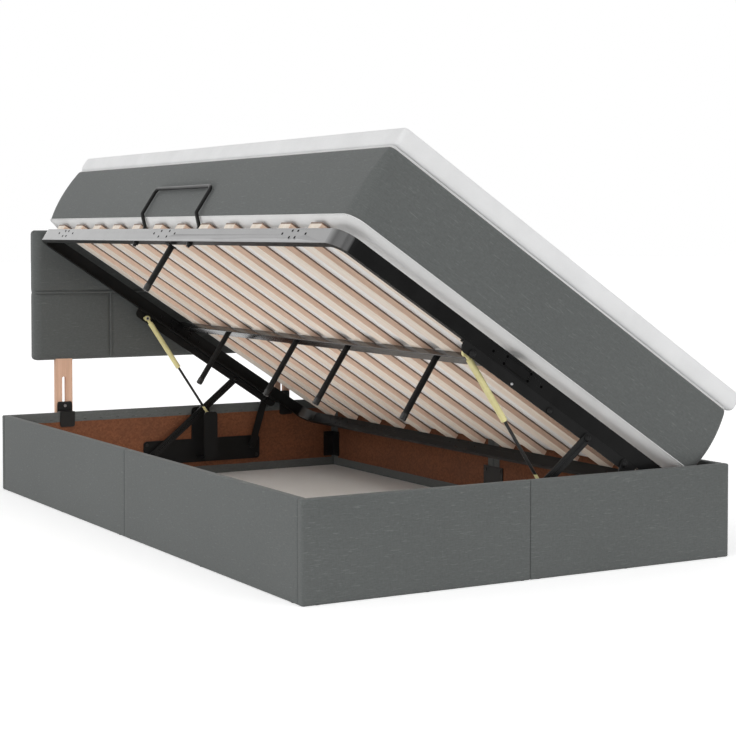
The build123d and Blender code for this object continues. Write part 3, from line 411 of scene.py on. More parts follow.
MATERIALS = {
    "cover_fabric": linen("upholstery_linen", GREY, (0.24, 0.25, 0.25)),
    # Painted shade: the headboard's linen is the base's linen darkened to 0.86, for the shade that
    # the mattress casts on it
    "head_fabric_painted_shade": linen("headboard_linen_painted_shade", scaled(GREY, 0.86), (0.21, 0.22, 0.22)),
    "border_fabric": linen("mattress_border_linen", (0.130, 0.138, 0.135), (0.24, 0.25, 0.25)),
    "piping_fabric": linen("piping_linen", (0.115, 0.122, 0.12), (0.2, 0.2, 0.2), 0.15),
    "rim_fabric": knit("mattress_white_knit", (0.84, 0.84, 0.835)),
    "topper_fabric": knit("topper_knit", (0.885, 0.887, 0.89), 600),
    "floor_board": coated_board("floor_board_coating", (0.84, 0.83, 0.81), 0.55),
    "chipboard": chipboard("chipboard", (0.235, 0.086, 0.037), (0.16, 0.056, 0.024)),
    "slat_wood": slat_timber("slat_timber"),
    "leg_wood": wood("headboard_leg_timber", (0.86, 0.56, 0.41), (0.68, 0.41, 0.28), UPRIGHT),
    "frame_steel": paint("frame_black_gloss", (0.006, 0.006, 0.006), 0.2, 0.001, 1.8, 0.3),
    "rail_enamel": rail_paint("rail_black_enamel"),
    "bar_steel": paint("bar_black", (0.012, 0.012, 0.012), 0.42, 0.0, 1.25),
    # Painted shade: near-black with no reflection, for the discs that darken the rail holes
    "hole_painted_shade": plastic("hole_painted_shade", (0.002, 0.002, 0.002), 0.9, 0.0),
    "black_steel": paint("fittings_black", (0.010, 0.010, 0.010), 0.35, 0.001),
    "rod_steel": paint("rod_black", (0.011, 0.011, 0.011), 0.4, 0.0, 1.32),
    "strut_rod": rod_with_fitting("strut_rod_black"),
    "strut_paint": paint("strut_cream_paint", (0.78, 0.71, 0.35), 0.32, 0.0),
    "bolt_steel": steel("zinc_plate", (0.62, 0.62, 0.63), 0.3),
    "black_plastic": plastic("cap_plastic", (0.02, 0.02, 0.02), 0.25),
    "glide_plastic": plastic("glide_plastic", (0.03, 0.03, 0.03), 0.6),
}


# Mesh helpers
def new_object(name, mesh, materials, body, matrix=None):
    obj = bpy.data.objects.new(name, mesh)
    scene.collection.objects.link(obj)
    if matrix is not None:
        obj.matrix_world = matrix
    for key in materials:
        mesh.materials.append(MATERIALS[key])
    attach(obj, body)
    return obj


def mesh_from(shape, name):
    """Blender mesh from a bmesh, which is freed."""
    mesh = bpy.data.meshes.new(name)
    shape.to_mesh(mesh)
    shape.free()
    return mesh


def smooth(mesh):
    for face in mesh.polygons:
        face.use_smooth = True


def subdivide(obj):
    level = obj.modifiers.new("smooth", "SUBSURF")
    level.levels = level.render_levels = 1


def ring(half_x, half_y, radius, per_x, per_y, per_corner):
    """Points round a rounded rectangle, the same number for every size."""
    radius = max(LEAST, min(radius, half_x - LEAST, half_y - LEAST))
    cx, cy = half_x - radius, half_y - radius
    corners = (
        (cx, cy, 0, per_x),
        (-cx, cy, 90, per_y),
        (-cx, -cy, 180, per_x),
        (cx, -cy, 270, per_y),
    )
    points = []
    for n, (x, y, start, count) in enumerate(corners):
        for k in range(per_corner + 1):
            a = math.radians(start + 90 * k / per_corner)
            points.append((x + radius * math.cos(a), y + radius * math.sin(a)))
        x0, y0 = points[-1]
        nx, ny, after, _ = corners[(n + 1) % 4]
        b = math.radians(after)
        x1, y1 = nx + radius * math.cos(b), ny + radius * math.sin(b)
        for k in range(1, count):
            t = k / count
            points.append((x0 + (x1 - x0) * t, y0 + (y1 - y0) * t))
    return points


def skin(rings, close_last=True, paints=None):
    """Mesh from stacked rings of 3-D points. paints gives a material index for each band.

    The first and last ring are creased, so that a subdivision leaves the closing faces flat.
    """
    mesh = bpy.data.meshes.new("skin")
    count = len(rings[0])
    last = (len(rings) - 1) * count
    paints = paints or [0] * len(rings)
    faces, marks = [], []
    for n in range(len(rings) - 1):
        for k in range(count):
            m = (k + 1) % count
            faces.append((n * count + k, n * count + m, (n + 1) * count + m, (n + 1) * count + k))
            marks.append(paints[n])
    faces.append(tuple(reversed(range(count))))
    marks.append(paints[0])
    if close_last:
        faces.append(tuple(range(last, last + count)))
        marks.append(paints[-1])
    mesh.from_pydata([point for row in rings for point in row], [], faces)
    for face, mark in zip(mesh.polygons, marks):
        face.material_index = mark
    mesh.validate()
    crease = mesh.attributes.new("crease_edge", "FLOAT", "EDGE")
    for edge in mesh.edges:
        if max(edge.vertices) < count or min(edge.vertices) >= last:
            crease.data[edge.index].value = 1.0
    smooth(mesh)
    return mesh


def tube(points, radius, closed):
    """Round cord through the points as a mesh."""
    curve = bpy.data.curves.new("cord", "CURVE")
    curve.dimensions = "3D"
    curve.bevel_depth = radius
    curve.bevel_resolution = 2
    spline = curve.splines.new("POLY")
    spline.points.add(len(points) - 1)
    for point, place in zip(spline.points, points):
        point.co = (*place, 1)
    spline.use_cyclic_u = closed
    holder = bpy.data.objects.new("holder", curve)
    mesh = bpy.data.meshes.new_from_object(holder)
    bpy.data.objects.remove(holder)
    bpy.data.curves.remove(curve)
    smooth(mesh)
    return mesh


# Mattress and topper, built in platform coordinates
def swollen(x, y, height, half, ends):
    """Ring point moved outward at the free and hinge sides and inward at the head side."""
    free, hinge, lean = ends(height)
    share = x / half[0]
    swell = abs((hinge if share > 0 else free) * share ** 5)
    x = x + swell if share > 0 else x - swell
    return x, y - lean * max(0.0, y / half[1]) ** 5


def soft_rings(profile, middle, half, counts, ends=None):
    """Rings from (inset, height, corner) entries with a faint hand-filled unevenness.

    ends(height) gives the swell of the free side and of the hinge side, and how far the
    head side leans in.
    """
    rings = []
    for inset, height, corner in profile:
        row = []
        for x, y in ring(half[0] - inset, half[1] - inset, corner, *counts):
            place = [value * scale for value, scale in zip((x, y, height), UNEVEN_SCALE)]
            push = noise.noise(Vector(place)) * UNEVEN
            length = math.hypot(x, y)
            if ends:
                x, y = swollen(x, y, height, half, ends)
            row.append((middle + x + x / length * push, y + y / length * push, height))
        rings.append(row)
    return rings


def make_mattress():
    """White rim and top edge with a bellied grey border between. Returns its ends function."""
    low, top = SLAT_TOP, MATTRESS_TOP
    rim = low + RIM_HEIGHT
    shoulder = top - SHOULDER

    def ends(height):
        share = (height - rim + SWELL_START) / (top - rim + SWELL_START)
        share = min(1.0, max(0.0, share))
        belly = math.sin(math.pi * share ** 0.8) ** 0.8
        free = FREE_SLOPE * (1 - share) + FREE_BELLY * belly
        hinge = HINGE_SLOPE * share + HINGE_BELLY * belly
        return free, hinge, HEAD_LEAN * share ** 2

    # Inset, height and corner radius of each ring, from the underside to the top
    under = [(d, low, max(0.02, 0.076 - d)) for d in (0.50, 0.40, 0.25, 0.12, 0.06)]
    curve = [
        (0.029, low + 0.0008, 0.074),
        (0.021, low + 0.003, 0.066),
        (0.0140, low + 0.0075, 0.056),
        (0.0082, low + 0.012, 0.048),
        (0.0056, rim - 0.002, 0.043),
        (0.0042, rim - 0.0004, 0.041),
    ]
    border = []
    for k in range(BORDER_STEPS + 1):
        t = k / BORDER_STEPS
        height = rim + 0.0006 + (shoulder - rim - 0.0006) * t
        swell = math.sin(math.pi * min(1, 0.06 + t * 0.90)) ** 0.75
        inset = 0.0048 * (1 - t) + 0.0016 * t - 0.0046 * swell
        border.append((inset, height, 0.041 - 0.027 * t ** 0.8))
    top_curve = [
        (0.0026, shoulder + 0.0022, 0.0135),
        (0.0040, shoulder + 0.0040, 0.013),
        (0.0068, shoulder + 0.0054, 0.012),
        (0.011, top, 0.011),
    ]
    over = [(d, top, 0.011) for d in (0.016, 0.04, 0.08, 0.25, 0.40, 0.50)]
    profile = under + curve + border + top_curve + over
    rings = soft_rings(profile, MATTRESS_MIDDLE, MATTRESS_HALF, MATTRESS_COUNTS, ends)
    paints = [1] * (len(under) + len(curve) - 1) + [0] * (len(border) + 1)
    paints += [1] * (len(profile) - len(paints))
    mesh = skin(rings, paints=paints)
    fabrics = ("border_fabric", "rim_fabric")
    obj = new_object("mattress_soft", mesh, fabrics, "platform", PLATFORM)
    subdivide(obj)
    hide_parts("mattress")
    return ends


def make_mattress_piping(ends):
    """Thin cords: one on top of the white rim, one where the border meets the topper."""
    # Name, inset, height, corner radius, cord radius
    cords = (
        ("rim_cord", 0.0030, SLAT_TOP + 0.0172, 0.040, 0.0013),
        ("top_cord", 0.0040, MATTRESS_TOP - 0.0006, 0.013, 0.0015),
    )
    half_x, half_y = MATTRESS_HALF
    for name, inset, height, corner, radius in cords:
        points = []
        for x, y in ring(half_x - inset, half_y - inset, corner, *MATTRESS_COUNTS):
            x, y = swollen(x, y, height, MATTRESS_HALF, ends)
            points.append((MATTRESS_MIDDLE + x, y, height))
        mesh = tube(points, radius, True)
        new_object(f"mattress_{name}", mesh, ("rim_fabric",), "platform", PLATFORM)


def make_topper():
    """Flat padded layer on the mattress with a round edge and a faint crown."""
    low, top = MATTRESS_TOP + 0.0016, TOPPER_TOP
    under = [(d, low, 0.010) for d in (0.50, 0.40, 0.25, 0.12, 0.05, 0.02)]
    rounded = [
        (0.0150, low + 0.0006, 0.010),
        (0.0080, low + 0.0026, 0.0105),
        (0.0032, low + 0.0062, 0.011),
        (0.0006, low + 0.0120, 0.0115),
        (-0.0008, (low + top) / 2, 0.012),
        (0.0002, top - 0.0090, 0.0115),
        (0.0014, top - 0.0046, 0.011),
        (0.0045, top - 0.0017, 0.0105),
        (0.010, top - 0.0002, 0.010),
    ]
    over = [
        (d, top + TOPPER_CROWN * min(1, d / 0.2), 0.010)
        for d in (0.02, 0.04, 0.08, 0.12, 0.25, 0.40, 0.50)
    ]
    rings = soft_rings(under + rounded + over, TOPPER_MIDDLE, TOPPER_HALF, TOPPER_COUNTS)
    mesh = skin(rings)
    obj = new_object("topper_soft", mesh, ("topper_fabric",), "platform", PLATFORM)
    subdivide(obj)
    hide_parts("topper")


# Upholstered base panels
def panel_cover(name, length, place):
    """Fabric over a board: rounded edges, faintly crowned face, hem stapled on the inside."""
    half, middle = length / 2, (BOX_LOW + BOX_HEIGHT) / 2
    tall = (BOX_HEIGHT - BOX_LOW) / 2
    # Inset and depth of each ring, from the outer face round the edge to the hem
    profile = [(0.085, 0.0), (0.05, 0.0001), (0.02, 0.0002), (0.008, 0.0004), (0.0034, 0.0009)]
    profile += [(0.0013, 0.0018), (0.0003, 0.0036), (0.0, 0.008), (0.0, PANEL - 0.0045)]
    profile += [(0.0006, PANEL - 0.0020), (0.0018, PANEL - 0.0006), (0.0036, PANEL)]
    profile += [(0.012, PANEL), (0.028, PANEL)]
    profile += [(0.0300, PANEL - 0.0002), (0.0303, PANEL - 0.0011)]
    per = max(6, int(length / COVER_STEP))
    rings = []
    for n, (inset, y) in enumerate(profile):
        row = []
        corner = max(LEAST_CORNER, COVER_CORNER - inset)
        for x, z in ring(half - inset, tall - inset, corner, per, 8, 4):
            if n >= len(profile) - HEM_RINGS:
                wave = noise.noise(Vector((x * 30, z * 30, len(name) * 3.7))) * HEM_WAVE
                x, z = x * (1 + wave / half), z * (1 + wave / tall)
            row.append((x, y, z + middle))
        rings.append(row)
    mesh = skin(rings, close_last=False)
    obj = new_object(f"panel_cover_{name}", mesh, ("cover_fabric",), "base")
    obj.data.transform(place)
    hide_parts(f"cover_{name}")


def panel_places():
    """Length, turn and matrix of each base panel."""
    half_x, half_y = BOX_WIDTH / 2, BOX_LENGTH / 2
    side = half_y - PANEL
    quarter = math.pi / 2
    panels = {
        "foot_left": (half_x, (-half_x / 2, -half_y), 0),
        "foot_right": (half_x, (half_x / 2, -half_y), 0),
        "side_left_foot": (side, (-half_x, -side / 2), -quarter),
        "side_left_head": (side, (-half_x, side / 2), -quarter),
        "side_right_foot": (side, (half_x, -side / 2), quarter),
        "side_right_head": (side, (half_x, side / 2), quarter),
        "head": (BOX_WIDTH, (0, half_y), math.pi),
    }
    for name, (length, (x, y), turn) in panels.items():
        yield name, length, turn, Matrix.Translation((x, y, 0)) @ Matrix.Rotation(turn, 4, "Z")


def make_panels():
    for name, length, _, place in panel_places():
        panel_cover(name, length, place)


def make_staples():
    """Upholstery staples along the upper hem of every panel, seen inside the box."""
    shape = bmesh.new()
    size = Matrix.Diagonal((*STAPLE_HALF, 1))
    for _, length, turn, place in panel_places():
        count = int(length / STAPLE_STEP)
        for k in range(count):
            along = -length / 2 + STAPLE_END + (length - 2 * STAPLE_END) * k / (count - 1)
            lean = noise.noise(Vector((k * 1.7, length, turn))) * STAPLE_LEAN
            spot = Matrix.Translation((along, PANEL + STAPLE_PROUD, BOX_HEIGHT - STAPLE_DROP))
            matrix = place @ spot @ Matrix.Rotation(lean, 4, "Y") @ size
            bmesh.ops.create_cube(shape, size=2, matrix=matrix)
    mesh = mesh_from(shape, "staples")
    new_object("hem_staples", mesh, ("black_steel",), "base")


# Headboard: outline, padded front, seams and the cords in them
HEAD_HALF = 0.488
HEAD_LOW, HEAD_TOP = 0.400, 0.814
HEAD_MIDDLE, HEAD_TALL = (HEAD_LOW + HEAD_TOP) / 2, (HEAD_TOP - HEAD_LOW) / 2
HEAD_FRONT, HEAD_BACK = 1.0065, 1.060
HEAD_CORNER = 0.013
HEAD_CROWN = 0.0045
HEAD_ROUND = 0.022
HEAD_EDGE = 0.026
HEAD_STEPS = (0.025, 0.003, 0.026)
SEAM_Z, SEAM_X = 0.616, 0.235
SEAM_WIDTH = 0.009
LEVEL_PULL, UPRIGHT_PULL = 0.0048, 0.0050
WAIST, WAIST_WIDTH, WAIST_REACH = 0.0016, 0.006, 0.03
CORD_HALF = 0.484
CORD_LIFT = 0.0026
CORD_RADIUS = 0.0038
CORD_STEPS = (0.03, 0.005, 0.03)

# Inset and depth of the outline's rows, from the middle of the edge to the back
HEAD_BACK_ROWS = (
    (0.0, 1.036),
    (0.0, HEAD_BACK - 0.005),
    (0.0015, HEAD_BACK - 0.0012),
    (0.006, HEAD_BACK),
    (0.03, HEAD_BACK),
)


def bell(distance, width):
    """1 at distance 0, falling off smoothly over the width."""
    return math.exp(-((distance / width) ** 2))


def head_front(x, z):
    """Depth of the padded front, drawn in at the seams."""
    crown = HEAD_CROWN * (x / HEAD_HALF) ** 2
    edge = 0.0
    for gap in (HEAD_HALF - abs(x), HEAD_TOP - z, z - HEAD_LOW):
        if gap < HEAD_ROUND:
            fall = 1 - math.sqrt(max(0.0, 1 - (1 - gap / HEAD_ROUND) ** 2))
            edge += HEAD_ROUND * fall * 0.9
    pull = LEVEL_PULL * bell(z - SEAM_Z, SEAM_WIDTH)
    if z < SEAM_Z:
        pull = max(pull, UPRIGHT_PULL * bell(abs(x) - SEAM_X, SEAM_WIDTH))
    return HEAD_FRONT + crown + min(edge, HEAD_EDGE) + pull


def spaced(low, high, marks, step, fine, reach):
    """Grid lines from low to high, closer together round each mark and the ends."""
    values = [low]
    while values[-1] < high - 1e-6:
        near = min(abs(values[-1] - m) for m in (*marks, low, high))
        values.append(min(high, values[-1] + (fine if near < reach else step)))
    return values


def rounded_place(x, z):
    """Move a grid point near a corner of the headboard onto its rounded outline."""
    r = HEAD_CORNER
    u = (abs(x) - (HEAD_HALF - r)) / r
    v = (abs(z - HEAD_MIDDLE) - (HEAD_TALL - r)) / r
    if u > 0 and v > 0:
        far = r * math.sqrt(1 - v * v / 2)
        high = r * math.sqrt(1 - u * u / 2)
        x = math.copysign(HEAD_HALF - r + u * far, x)
        z = HEAD_MIDDLE + math.copysign(HEAD_TALL - r + v * high, z - HEAD_MIDDLE)
    near = max(0.0, 1 - (HEAD_HALF - abs(x)) / WAIST_REACH)
    waist = WAIST * bell(z - SEAM_Z, WAIST_WIDTH) * near
    return x - math.copysign(waist, x), z


def headboard_mesh():
    """Padded front as a grid, carried round the outline to the flat back."""
    xs = spaced(-HEAD_HALF, HEAD_HALF, (-SEAM_X, SEAM_X), *HEAD_STEPS)
    zs = spaced(HEAD_LOW, HEAD_TOP, (SEAM_Z,), *HEAD_STEPS)
    shape = bmesh.new()
    front = []
    for z in zs:
        row = []
        for x in xs:
            px, pz = rounded_place(x, z)
            row.append(shape.verts.new((px, head_front(x, z), pz)))
        front.append(row)
    for lower, upper in zip(front, front[1:]):
        for corners in zip(lower, lower[1:], upper[1:], upper):
            shape.faces.new(corners)
    edge = front[0] + [row[-1] for row in front[1:]]
    edge += front[-1][-2::-1] + [row[0] for row in front[-2:0:-1]]
    last = edge
    for inset, y in HEAD_BACK_ROWS:
        row = []
        for vert in edge:
            x = vert.co.x * (1 - inset / HEAD_HALF)
            z = HEAD_MIDDLE + (vert.co.z - HEAD_MIDDLE) * (1 - inset / HEAD_TALL)
            row.append(shape.verts.new((x, y, z)))
        for k in range(len(edge)):
            m = (k + 1) % len(edge)
            shape.faces.new((last[m], last[k], row[k], row[m]))
        last = row
    shape.faces.new(last)
    bmesh.ops.remove_doubles(shape, verts=shape.verts, dist=1e-5)
    bmesh.ops.recalc_face_normals(shape, faces=shape.faces)
    mesh = mesh_from(shape, "headboard")
    smooth(mesh)
    return mesh


def make_headboard():
    mesh = headboard_mesh()
    obj = new_object("headboard_soft", mesh, ("head_fabric_painted_shade",), "headboard")
    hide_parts("headboard_cover")
    across = spaced(-CORD_HALF, CORD_HALF, (), *CORD_STEPS)
    lines = {"level": [(x, head_front(x, SEAM_Z) - CORD_LIFT, SEAM_Z) for x in across]}
    rows = spaced(HEAD_LOW + 0.006, SEAM_Z, (), *CORD_STEPS)
    for name, s in (("left", -1), ("right", 1)):
        lines[name] = [(s * SEAM_X, head_front(SEAM_X, z) - CORD_LIFT, z) for z in rows]
    for name, points in lines.items():
        mesh = tube(points, CORD_RADIUS, False)
        piece = f"headboard_piping_{name}"
        new_object(piece, mesh, ("piping_fabric",), "headboard")


# Finishes of the carried-over CAD nodes: material by the start of the name, and edge width
CRISP_ANGLE = 0.56
BEVEL_ANGLE = math.radians(50)
CAD_FINISHES = (
    ("board_", "chipboard"),
    ("slat_", "slat_wood"),
    ("rail_hinge", "bar_steel"),
    ("rail_", "rail_enamel"),
    ("centre_beam", "frame_steel"),
    ("lift_bar_bolts", "bolt_steel"),
    ("lift_bar", "bar_steel"),
    ("support_legs", "bar_steel"),
    ("retainer_loop", "rod_steel"),
    ("long_arm", "rod_steel"),
    ("short_arm", "rod_steel"),
    ("base_bracket", "bar_steel"),
    ("headboard_leg", "leg_wood"),
    ("headboard_core", "chipboard"),
    ("floor_sheets", "floor_board"),
    ("glides", "glide_plastic"),
    ("leg_caps", "black_plastic"),
    ("strut_cylinder", "strut_paint"),
    ("strut_rod", "strut_rod"),
    ("panel_bolts", "black_steel"),
    ("clamp_bolts", "bolt_steel"),
)
CAD_EDGES = (("rail_", 0.0007), ("centre_beam", 0.001), ("slat_", 0.0012), ("board_", 0.0))
OTHER_EDGE = 0.0004


def edge_shading():
    """Modifier tree: smooth faces, with the edges sharper than CRISP_ANGLE kept crisp."""
    tree = bpy.data.node_groups.new("edge_shading", "GeometryNodeTree")
    for way in ("INPUT", "OUTPUT"):
        tree.interface.new_socket("Geometry", in_out=way, socket_type="NodeSocketGeometry")
    nodes, links = tree.nodes, tree.links
    start, end = nodes.new("NodeGroupInput"), nodes.new("NodeGroupOutput")
    merge = nodes.new("GeometryNodeMergeByDistance")
    merge.inputs["Distance"].default_value = 1e-6
    angle = nodes.new("GeometryNodeInputMeshEdgeAngle")
    sharp = nodes.new("FunctionNodeCompare")
    sharp.operation = "GREATER_THAN"
    sharp.inputs[1].default_value = CRISP_ANGLE
    shade = nodes.new("GeometryNodeSetMeshNormal")
    shade.mode = "SHARPNESS"
    shade.inputs["Remove Custom"].default_value = True
    links.new(start.outputs[0], merge.inputs["Geometry"])
    links.new(merge.outputs["Geometry"], shade.inputs["Mesh"])
    links.new(angle.outputs["Unsigned Angle"], sharp.inputs[0])
    links.new(sharp.outputs[0], shade.inputs["Edge Sharpness"])
    links.new(shade.outputs["Mesh"], end.inputs[0])
    return tree


def first_match(name, table, other):
    """Value of the first row of the table whose key starts the name."""
    return next((value for start, value in table if name.startswith(start)), other)


def dress_cad():
    """Material, shading and rounded edges for every carried-over node."""
    tree = edge_shading()
    for name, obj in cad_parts.items():
        obj.data.materials.clear()
        obj.data.materials.append(MATERIALS[first_match(name, CAD_FINISHES, "black_steel")])
        shading = obj.modifiers.new("shading", "NODES")
        shading.node_group = tree
        width = first_match(name, CAD_EDGES, OTHER_EDGE)
        if width:
            bevel = obj.modifiers.new("edges", "BEVEL")
            bevel.width = width
            bevel.segments = 2
            bevel.limit_method = "ANGLE"
            bevel.angle_limit = BEVEL_ANGLE
            bevel.harden_normals = True


# Turned pieces: nuts and screws of the lift bars and the loop, eye rings, and discs of painted
# shade in the rail holes
AROUND = 20
SKIRT = 0.0012
DOME_STEPS = 6
DOME_SHARE = 0.62

# Spots of the lift bars, across and up in platform coordinates, and how far out the faces lie
STRUT_EYE = (0.440, -0.017)
BAR_SCREW = (0.573, -0.0185)
BAR_BOLT = (0.699, -0.017)
LONG_PIVOT = (0.830, -0.016)
SHORT_PIVOT = (0.962, -0.013)
BAR_FACE, BAR_INNER, ARM_FACE, EYE_INNER = 0.9748, 0.968, 0.9784, 0.939
END_RAIL_FACE = 0.972

# Outer nuts of a lift bar as (spot, face, radius), and radius and height of the others
BAR_NUTS = (
    (STRUT_EYE, BAR_FACE, 0.0078),
    (BAR_BOLT, BAR_FACE, 0.0062),
    (LONG_PIVOT, ARM_FACE, 0.0070),
)
SHORT_ARM_NUT = (SHORT_PIVOT, ARM_FACE, 0.0070)
SCREW, SCREW_SUNK = (0.0032, 0.0024), 0.0026
INNER_NUT = (0.0064, 0.0035)

# Retainer loop: how far in its ends stand, and half of their distance
LOOP_IN, LOOP_HALF = 0.0083, 0.18

# Hole patterns: middle and the distances of the outer and inner holes, or distance and height
FREE_RAIL_HOLES = ((0, 0.069, 0.027), (0.750, 0.058, 0.014), (-0.750, 0.058, 0.014))
OUTER_HOLE_HEIGHT, INNER_HOLE_HEIGHTS = 0.024, (0.032, 0.014)
END_RAIL_HOLES = ((0.081, 0.019), (0.040, 0.029), (0.040, 0.010))

# Profiles as (radius, height)
COLLAR = (
    (0.0052, 0.0),
    (0.0074, 0.0002),
    (0.0080, 0.0010),
    (0.0080, 0.0050),
    (0.0074, 0.0058),
    (0.0052, 0.0060),
    (0, 0.0060),
)
WASHER = (
    (0.0060, 0.0),
    (0.0060, 0.0006),
    (0.0054, 0.0011),
    (0.0036, 0.0011),
    (0.0032, 0.0004),
    (0, 0.0004),
)
PIN = ((0.0031, 0.0), (0.0031, 0.0010), (0.0024, 0.0016), (0, 0.0018))
HOLE_SHADE_DISC = ((0.0034, 0.0), (0.0034, 0.00035), (0.0029, 0.0005), (0.0017, 0.0001), (0, -0.0002))


def revolve(shape, matrix, profile):
    """Turn the (radius, height) profile round local -Y and close it at the last height."""
    rows = []
    for r, y in profile[:-1]:
        row = []
        for k in range(AROUND):
            a = 2 * math.pi * k / AROUND
            row.append(shape.verts.new(matrix @ Vector((r * math.cos(a), -y, r * math.sin(a)))))
        rows.append(row)
    tip = shape.verts.new(matrix @ Vector((0, -profile[-1][1], 0)))
    for one, two in zip(rows, rows[1:]):
        for k in range(AROUND):
            m = (k + 1) % AROUND
            shape.faces.new((one[k], one[m], two[m], two[k]))
    for k in range(AROUND):
        shape.faces.new((rows[-1][k], rows[-1][(k + 1) % AROUND], tip))


def dome(radius, height):
    """Profile of a cap nut: a short wide skirt, then a low dome."""
    profile = [(radius * 1.25, 0.0), (radius * 1.25, SKIRT * 0.5), (radius, SKIRT)]
    for k in range(1, DOME_STEPS + 1):
        a = math.pi / 2 * k / DOME_STEPS
        profile.append((radius * math.cos(a), SKIRT + height * math.sin(a)))
    return profile


def turned_set(name, pieces, key, body):
    """One object from (matrix, profile) pieces in platform coordinates."""
    shape = bmesh.new()
    for matrix, profile in pieces:
        revolve(shape, PLATFORM @ matrix, profile)
    bmesh.ops.recalc_face_normals(shape, faces=shape.faces)
    mesh = mesh_from(shape, name)
    smooth(mesh)
    return new_object(name, mesh, (key,), body)


def bar_place(side, spot, out):
    """Matrix at a spot of the foot end's lift bar, or of the head end's where side is -1."""
    return Matrix.Diagonal((1, side, 1, 1)) @ Matrix.Translation((spot[0], -out, spot[1]))


def make_nuts():
    """Cap nuts on the outer side, the bars' own screws and inner nuts, and the loop's nuts."""
    for end, side in (("foot", 1), ("head", -1)):
        for body, nuts in (("platform", BAR_NUTS), (f"short_arm_{end}", (SHORT_ARM_NUT,))):
            pieces = []
            for spot, face, radius in nuts:
                pieces.append((bar_place(side, spot, face), dome(radius, radius * DOME_SHARE)))
            turned_set(f"cap_nuts_{end}_{body}", pieces, "rod_steel", body)
    screws, inner = [], []
    for side in (1, -1):
        screws.append((bar_place(side, BAR_SCREW, BAR_FACE - SCREW_SUNK), dome(*SCREW)))
        for spot in (LONG_PIVOT, SHORT_PIVOT):
            place = bar_place(side, spot, BAR_INNER) @ Matrix.Rotation(math.pi, 4, "X")
            inner.append((place, dome(*INNER_NUT)))
    bolts = turned_set("bar_bolts", screws, "bolt_steel", "platform")
    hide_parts("lift_bar_bolts")
    turned_set("bar_nuts_inner", inner, "rod_steel", "platform")
    down = Matrix.Rotation(math.pi / 2, 4, "X")
    nuts = [(Matrix.Translation((LOOP_IN, s * LOOP_HALF, 0)) @ down, COLLAR) for s in (-1, 1)]
    turned_set("loop_nuts", nuts, "bar_steel", "platform")


def make_eye_rings():
    """Bright washer and dark pin end on the inner face of each strut's upper eye."""
    for end, side in (("foot", -1), ("head", 1)):
        place = bar_place(side, STRUT_EYE, -EYE_INNER)
        body = f"strut_cylinder_{end}"
        turned_set(f"eye_washer_{end}", [(place, WASHER)], "bolt_steel", body)
        turned_set(f"eye_pin_{end}", [(place, PIN)], "rod_steel", body)


def make_hole_shade_discs():
    """Painted shade: near-black discs without reflection just inside the holes of the free rail and
    the end rails, standing in for the shade in the holes.
    """
    out = Matrix.Rotation(-math.pi / 2, 4, "Z")
    pieces = []
    for centre, outer, inner in FREE_RAIL_HOLES:
        holes = [(outer, OUTER_HOLE_HEIGHT)] + [(inner, high) for high in INNER_HOLE_HEIGHTS]
        for s in (-1, 1):
            for step, high in holes:
                pieces.append((Matrix.Translation((0.0, centre + s * step, high)) @ out, HOLE_SHADE_DISC))
    for side in (1, -1):
        for s in (-1, 1):
            for step, high in END_RAIL_HOLES:
                spot = (FRAME_WIDTH / 2 + s * step, high)
                pieces.append((bar_place(side, spot, END_RAIL_FACE), HOLE_SHADE_DISC))
    turned_set("rail_hole_shade_discs", pieces, "hole_painted_shade", "platform")


# Floor, world and lights
FLOOR_NEAR, FLOOR_FAR = -3.1, 40
FLOOR_LEVEL = -0.0006
FLOOR_GREY = 0.9
FLOOR_LIFT = 0.42
AMBIENT = 0.54


def make_stage():
    """Floor from before the object to far behind it, white to the camera and in reflections."""
    mesh = bpy.data.meshes.new("floor")
    far, near, z = FLOOR_FAR, FLOOR_NEAR, FLOOR_LEVEL
    corners = [(-far, near, z), (far, near, z), (far, far, z), (-far, far, z)]
    mesh.from_pydata(corners, [], [(0, 1, 2, 3)])
    floor = bpy.data.objects.new("floor", mesh)
    scene.collection.objects.link(floor)
    material = bpy.data.materials.new("floor")
    material.use_nodes = True
    graph = Graph(material.node_tree)
    shader = graph.tree.nodes["Principled BSDF"].inputs
    shader["Base Color"].default_value = (*grey(FLOOR_GREY), 1)
    shader["Roughness"].default_value = 1.0
    shader["Specular IOR Level"].default_value = 0.0
    shader["Emission Color"].default_value = (1, 1, 1, 1)
    path = graph.add("ShaderNodeLightPath").outputs
    seen = graph.math("ADD", path["Is Camera Ray"], path["Is Glossy Ray"])
    clear = graph.math("ADD", seen, path["Is Transmission Ray"])
    graph.put(shader["Emission Strength"], graph.math("MULTIPLY", clear, FLOOR_LIFT))
    mesh.materials.append(material)


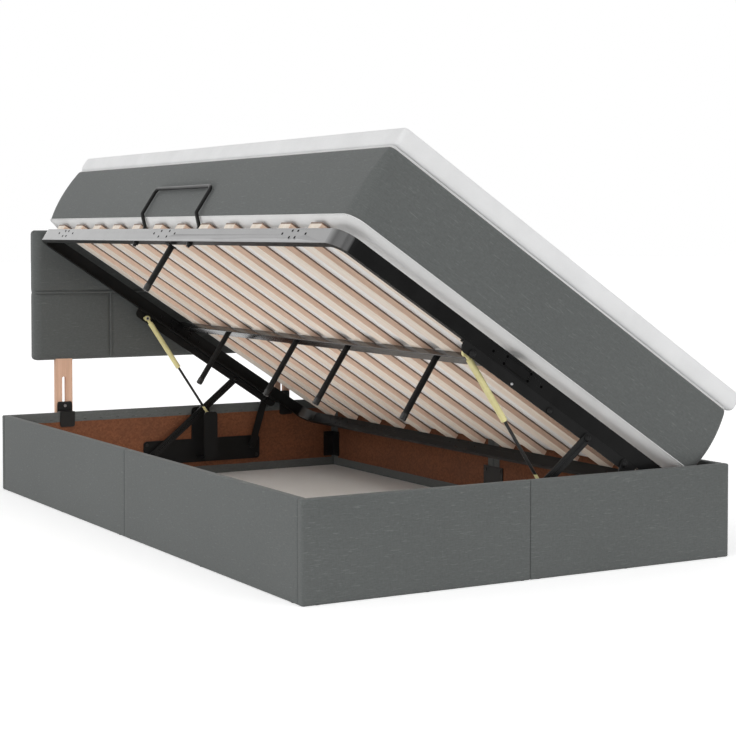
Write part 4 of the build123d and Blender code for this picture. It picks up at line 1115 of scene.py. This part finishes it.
def make_world():
    """White to the camera, brighter toward the head side in reflections, even for other light."""
    world = bpy.data.worlds.new("studio")
    scene.world = world
    world.use_nodes = True
    graph = Graph(world.node_tree)
    path = graph.add("ShaderNodeLightPath").outputs
    way = graph.split(graph.add("ShaderNodeTexCoord").outputs["Generated"])
    ramp = graph.add("ShaderNodeMapRange", interpolation_type="SMOOTHSTEP")
    spread = {"Value": way["Y"], "From Min": -0.35, "From Max": 0.75, "To Min": 0.12, "To Max": 1.9}
    for key, value in spread.items():
        graph.put(ramp.inputs[key], value)
    back = graph.tree.nodes["Background"].inputs
    back["Color"].default_value = (1, 1, 1, 1)
    light = graph.blend(path["Is Glossy Ray"], AMBIENT, ramp.outputs["Result"])
    graph.put(back["Strength"], graph.blend(path["Is Camera Ray"], light, 1.0))


def add_lamp(name, data, toward):
    """Lamp that shines in the given direction."""
    lamp = bpy.data.objects.new(name, data)
    scene.collection.objects.link(lamp)
    lamp.rotation_euler = Vector(toward).to_track_quat("-Z", "Y").to_euler()
    return lamp


def make_sun(name, toward, strength, angle):
    data = bpy.data.lights.new(name, "SUN")
    data.energy = strength
    data.angle = math.radians(angle)
    add_lamp(name, data, toward)


def make_softbox(name, place, toward, size, power, mirrored):
    """Large soft lamp that the camera doesn't see, and reflections only where mirrored is true."""
    data = bpy.data.lights.new(name, "AREA")
    data.shape = "RECTANGLE"
    data.size, data.size_y = size
    data.energy = power
    lamp = add_lamp(name, data, toward)
    lamp.location = place
    lamp.visible_camera = False
    lamp.visible_glossy = mirrored


def main():
    make_camera()
    dress_cad()
    make_mattress_piping(make_mattress())
    make_topper()
    make_panels()
    make_staples()
    make_headboard()
    make_nuts()
    make_eye_rings()
    make_hole_shade_discs()
    make_stage()
    make_world()
    # Direction, strength and angle of the suns; place, direction, size and power of the soft lamps
    make_sun("key", (0.85, 0.45, -0.75), 0.59, 50)
    make_sun("fill", (-0.2, 0.9, -0.5), 0.72, 60)
    make_softbox("low_left", (-2.3, -0.5, 0.20), (1, 0.1, 0.25), (3.0, 0.4), 7, True)
    make_softbox("bounce", (-0.22, 0.0, 0.035), (0, 0, 1), (0.6, 1.7), 3.2, False)
    scene.view_settings.view_transform = "Standard"


main()
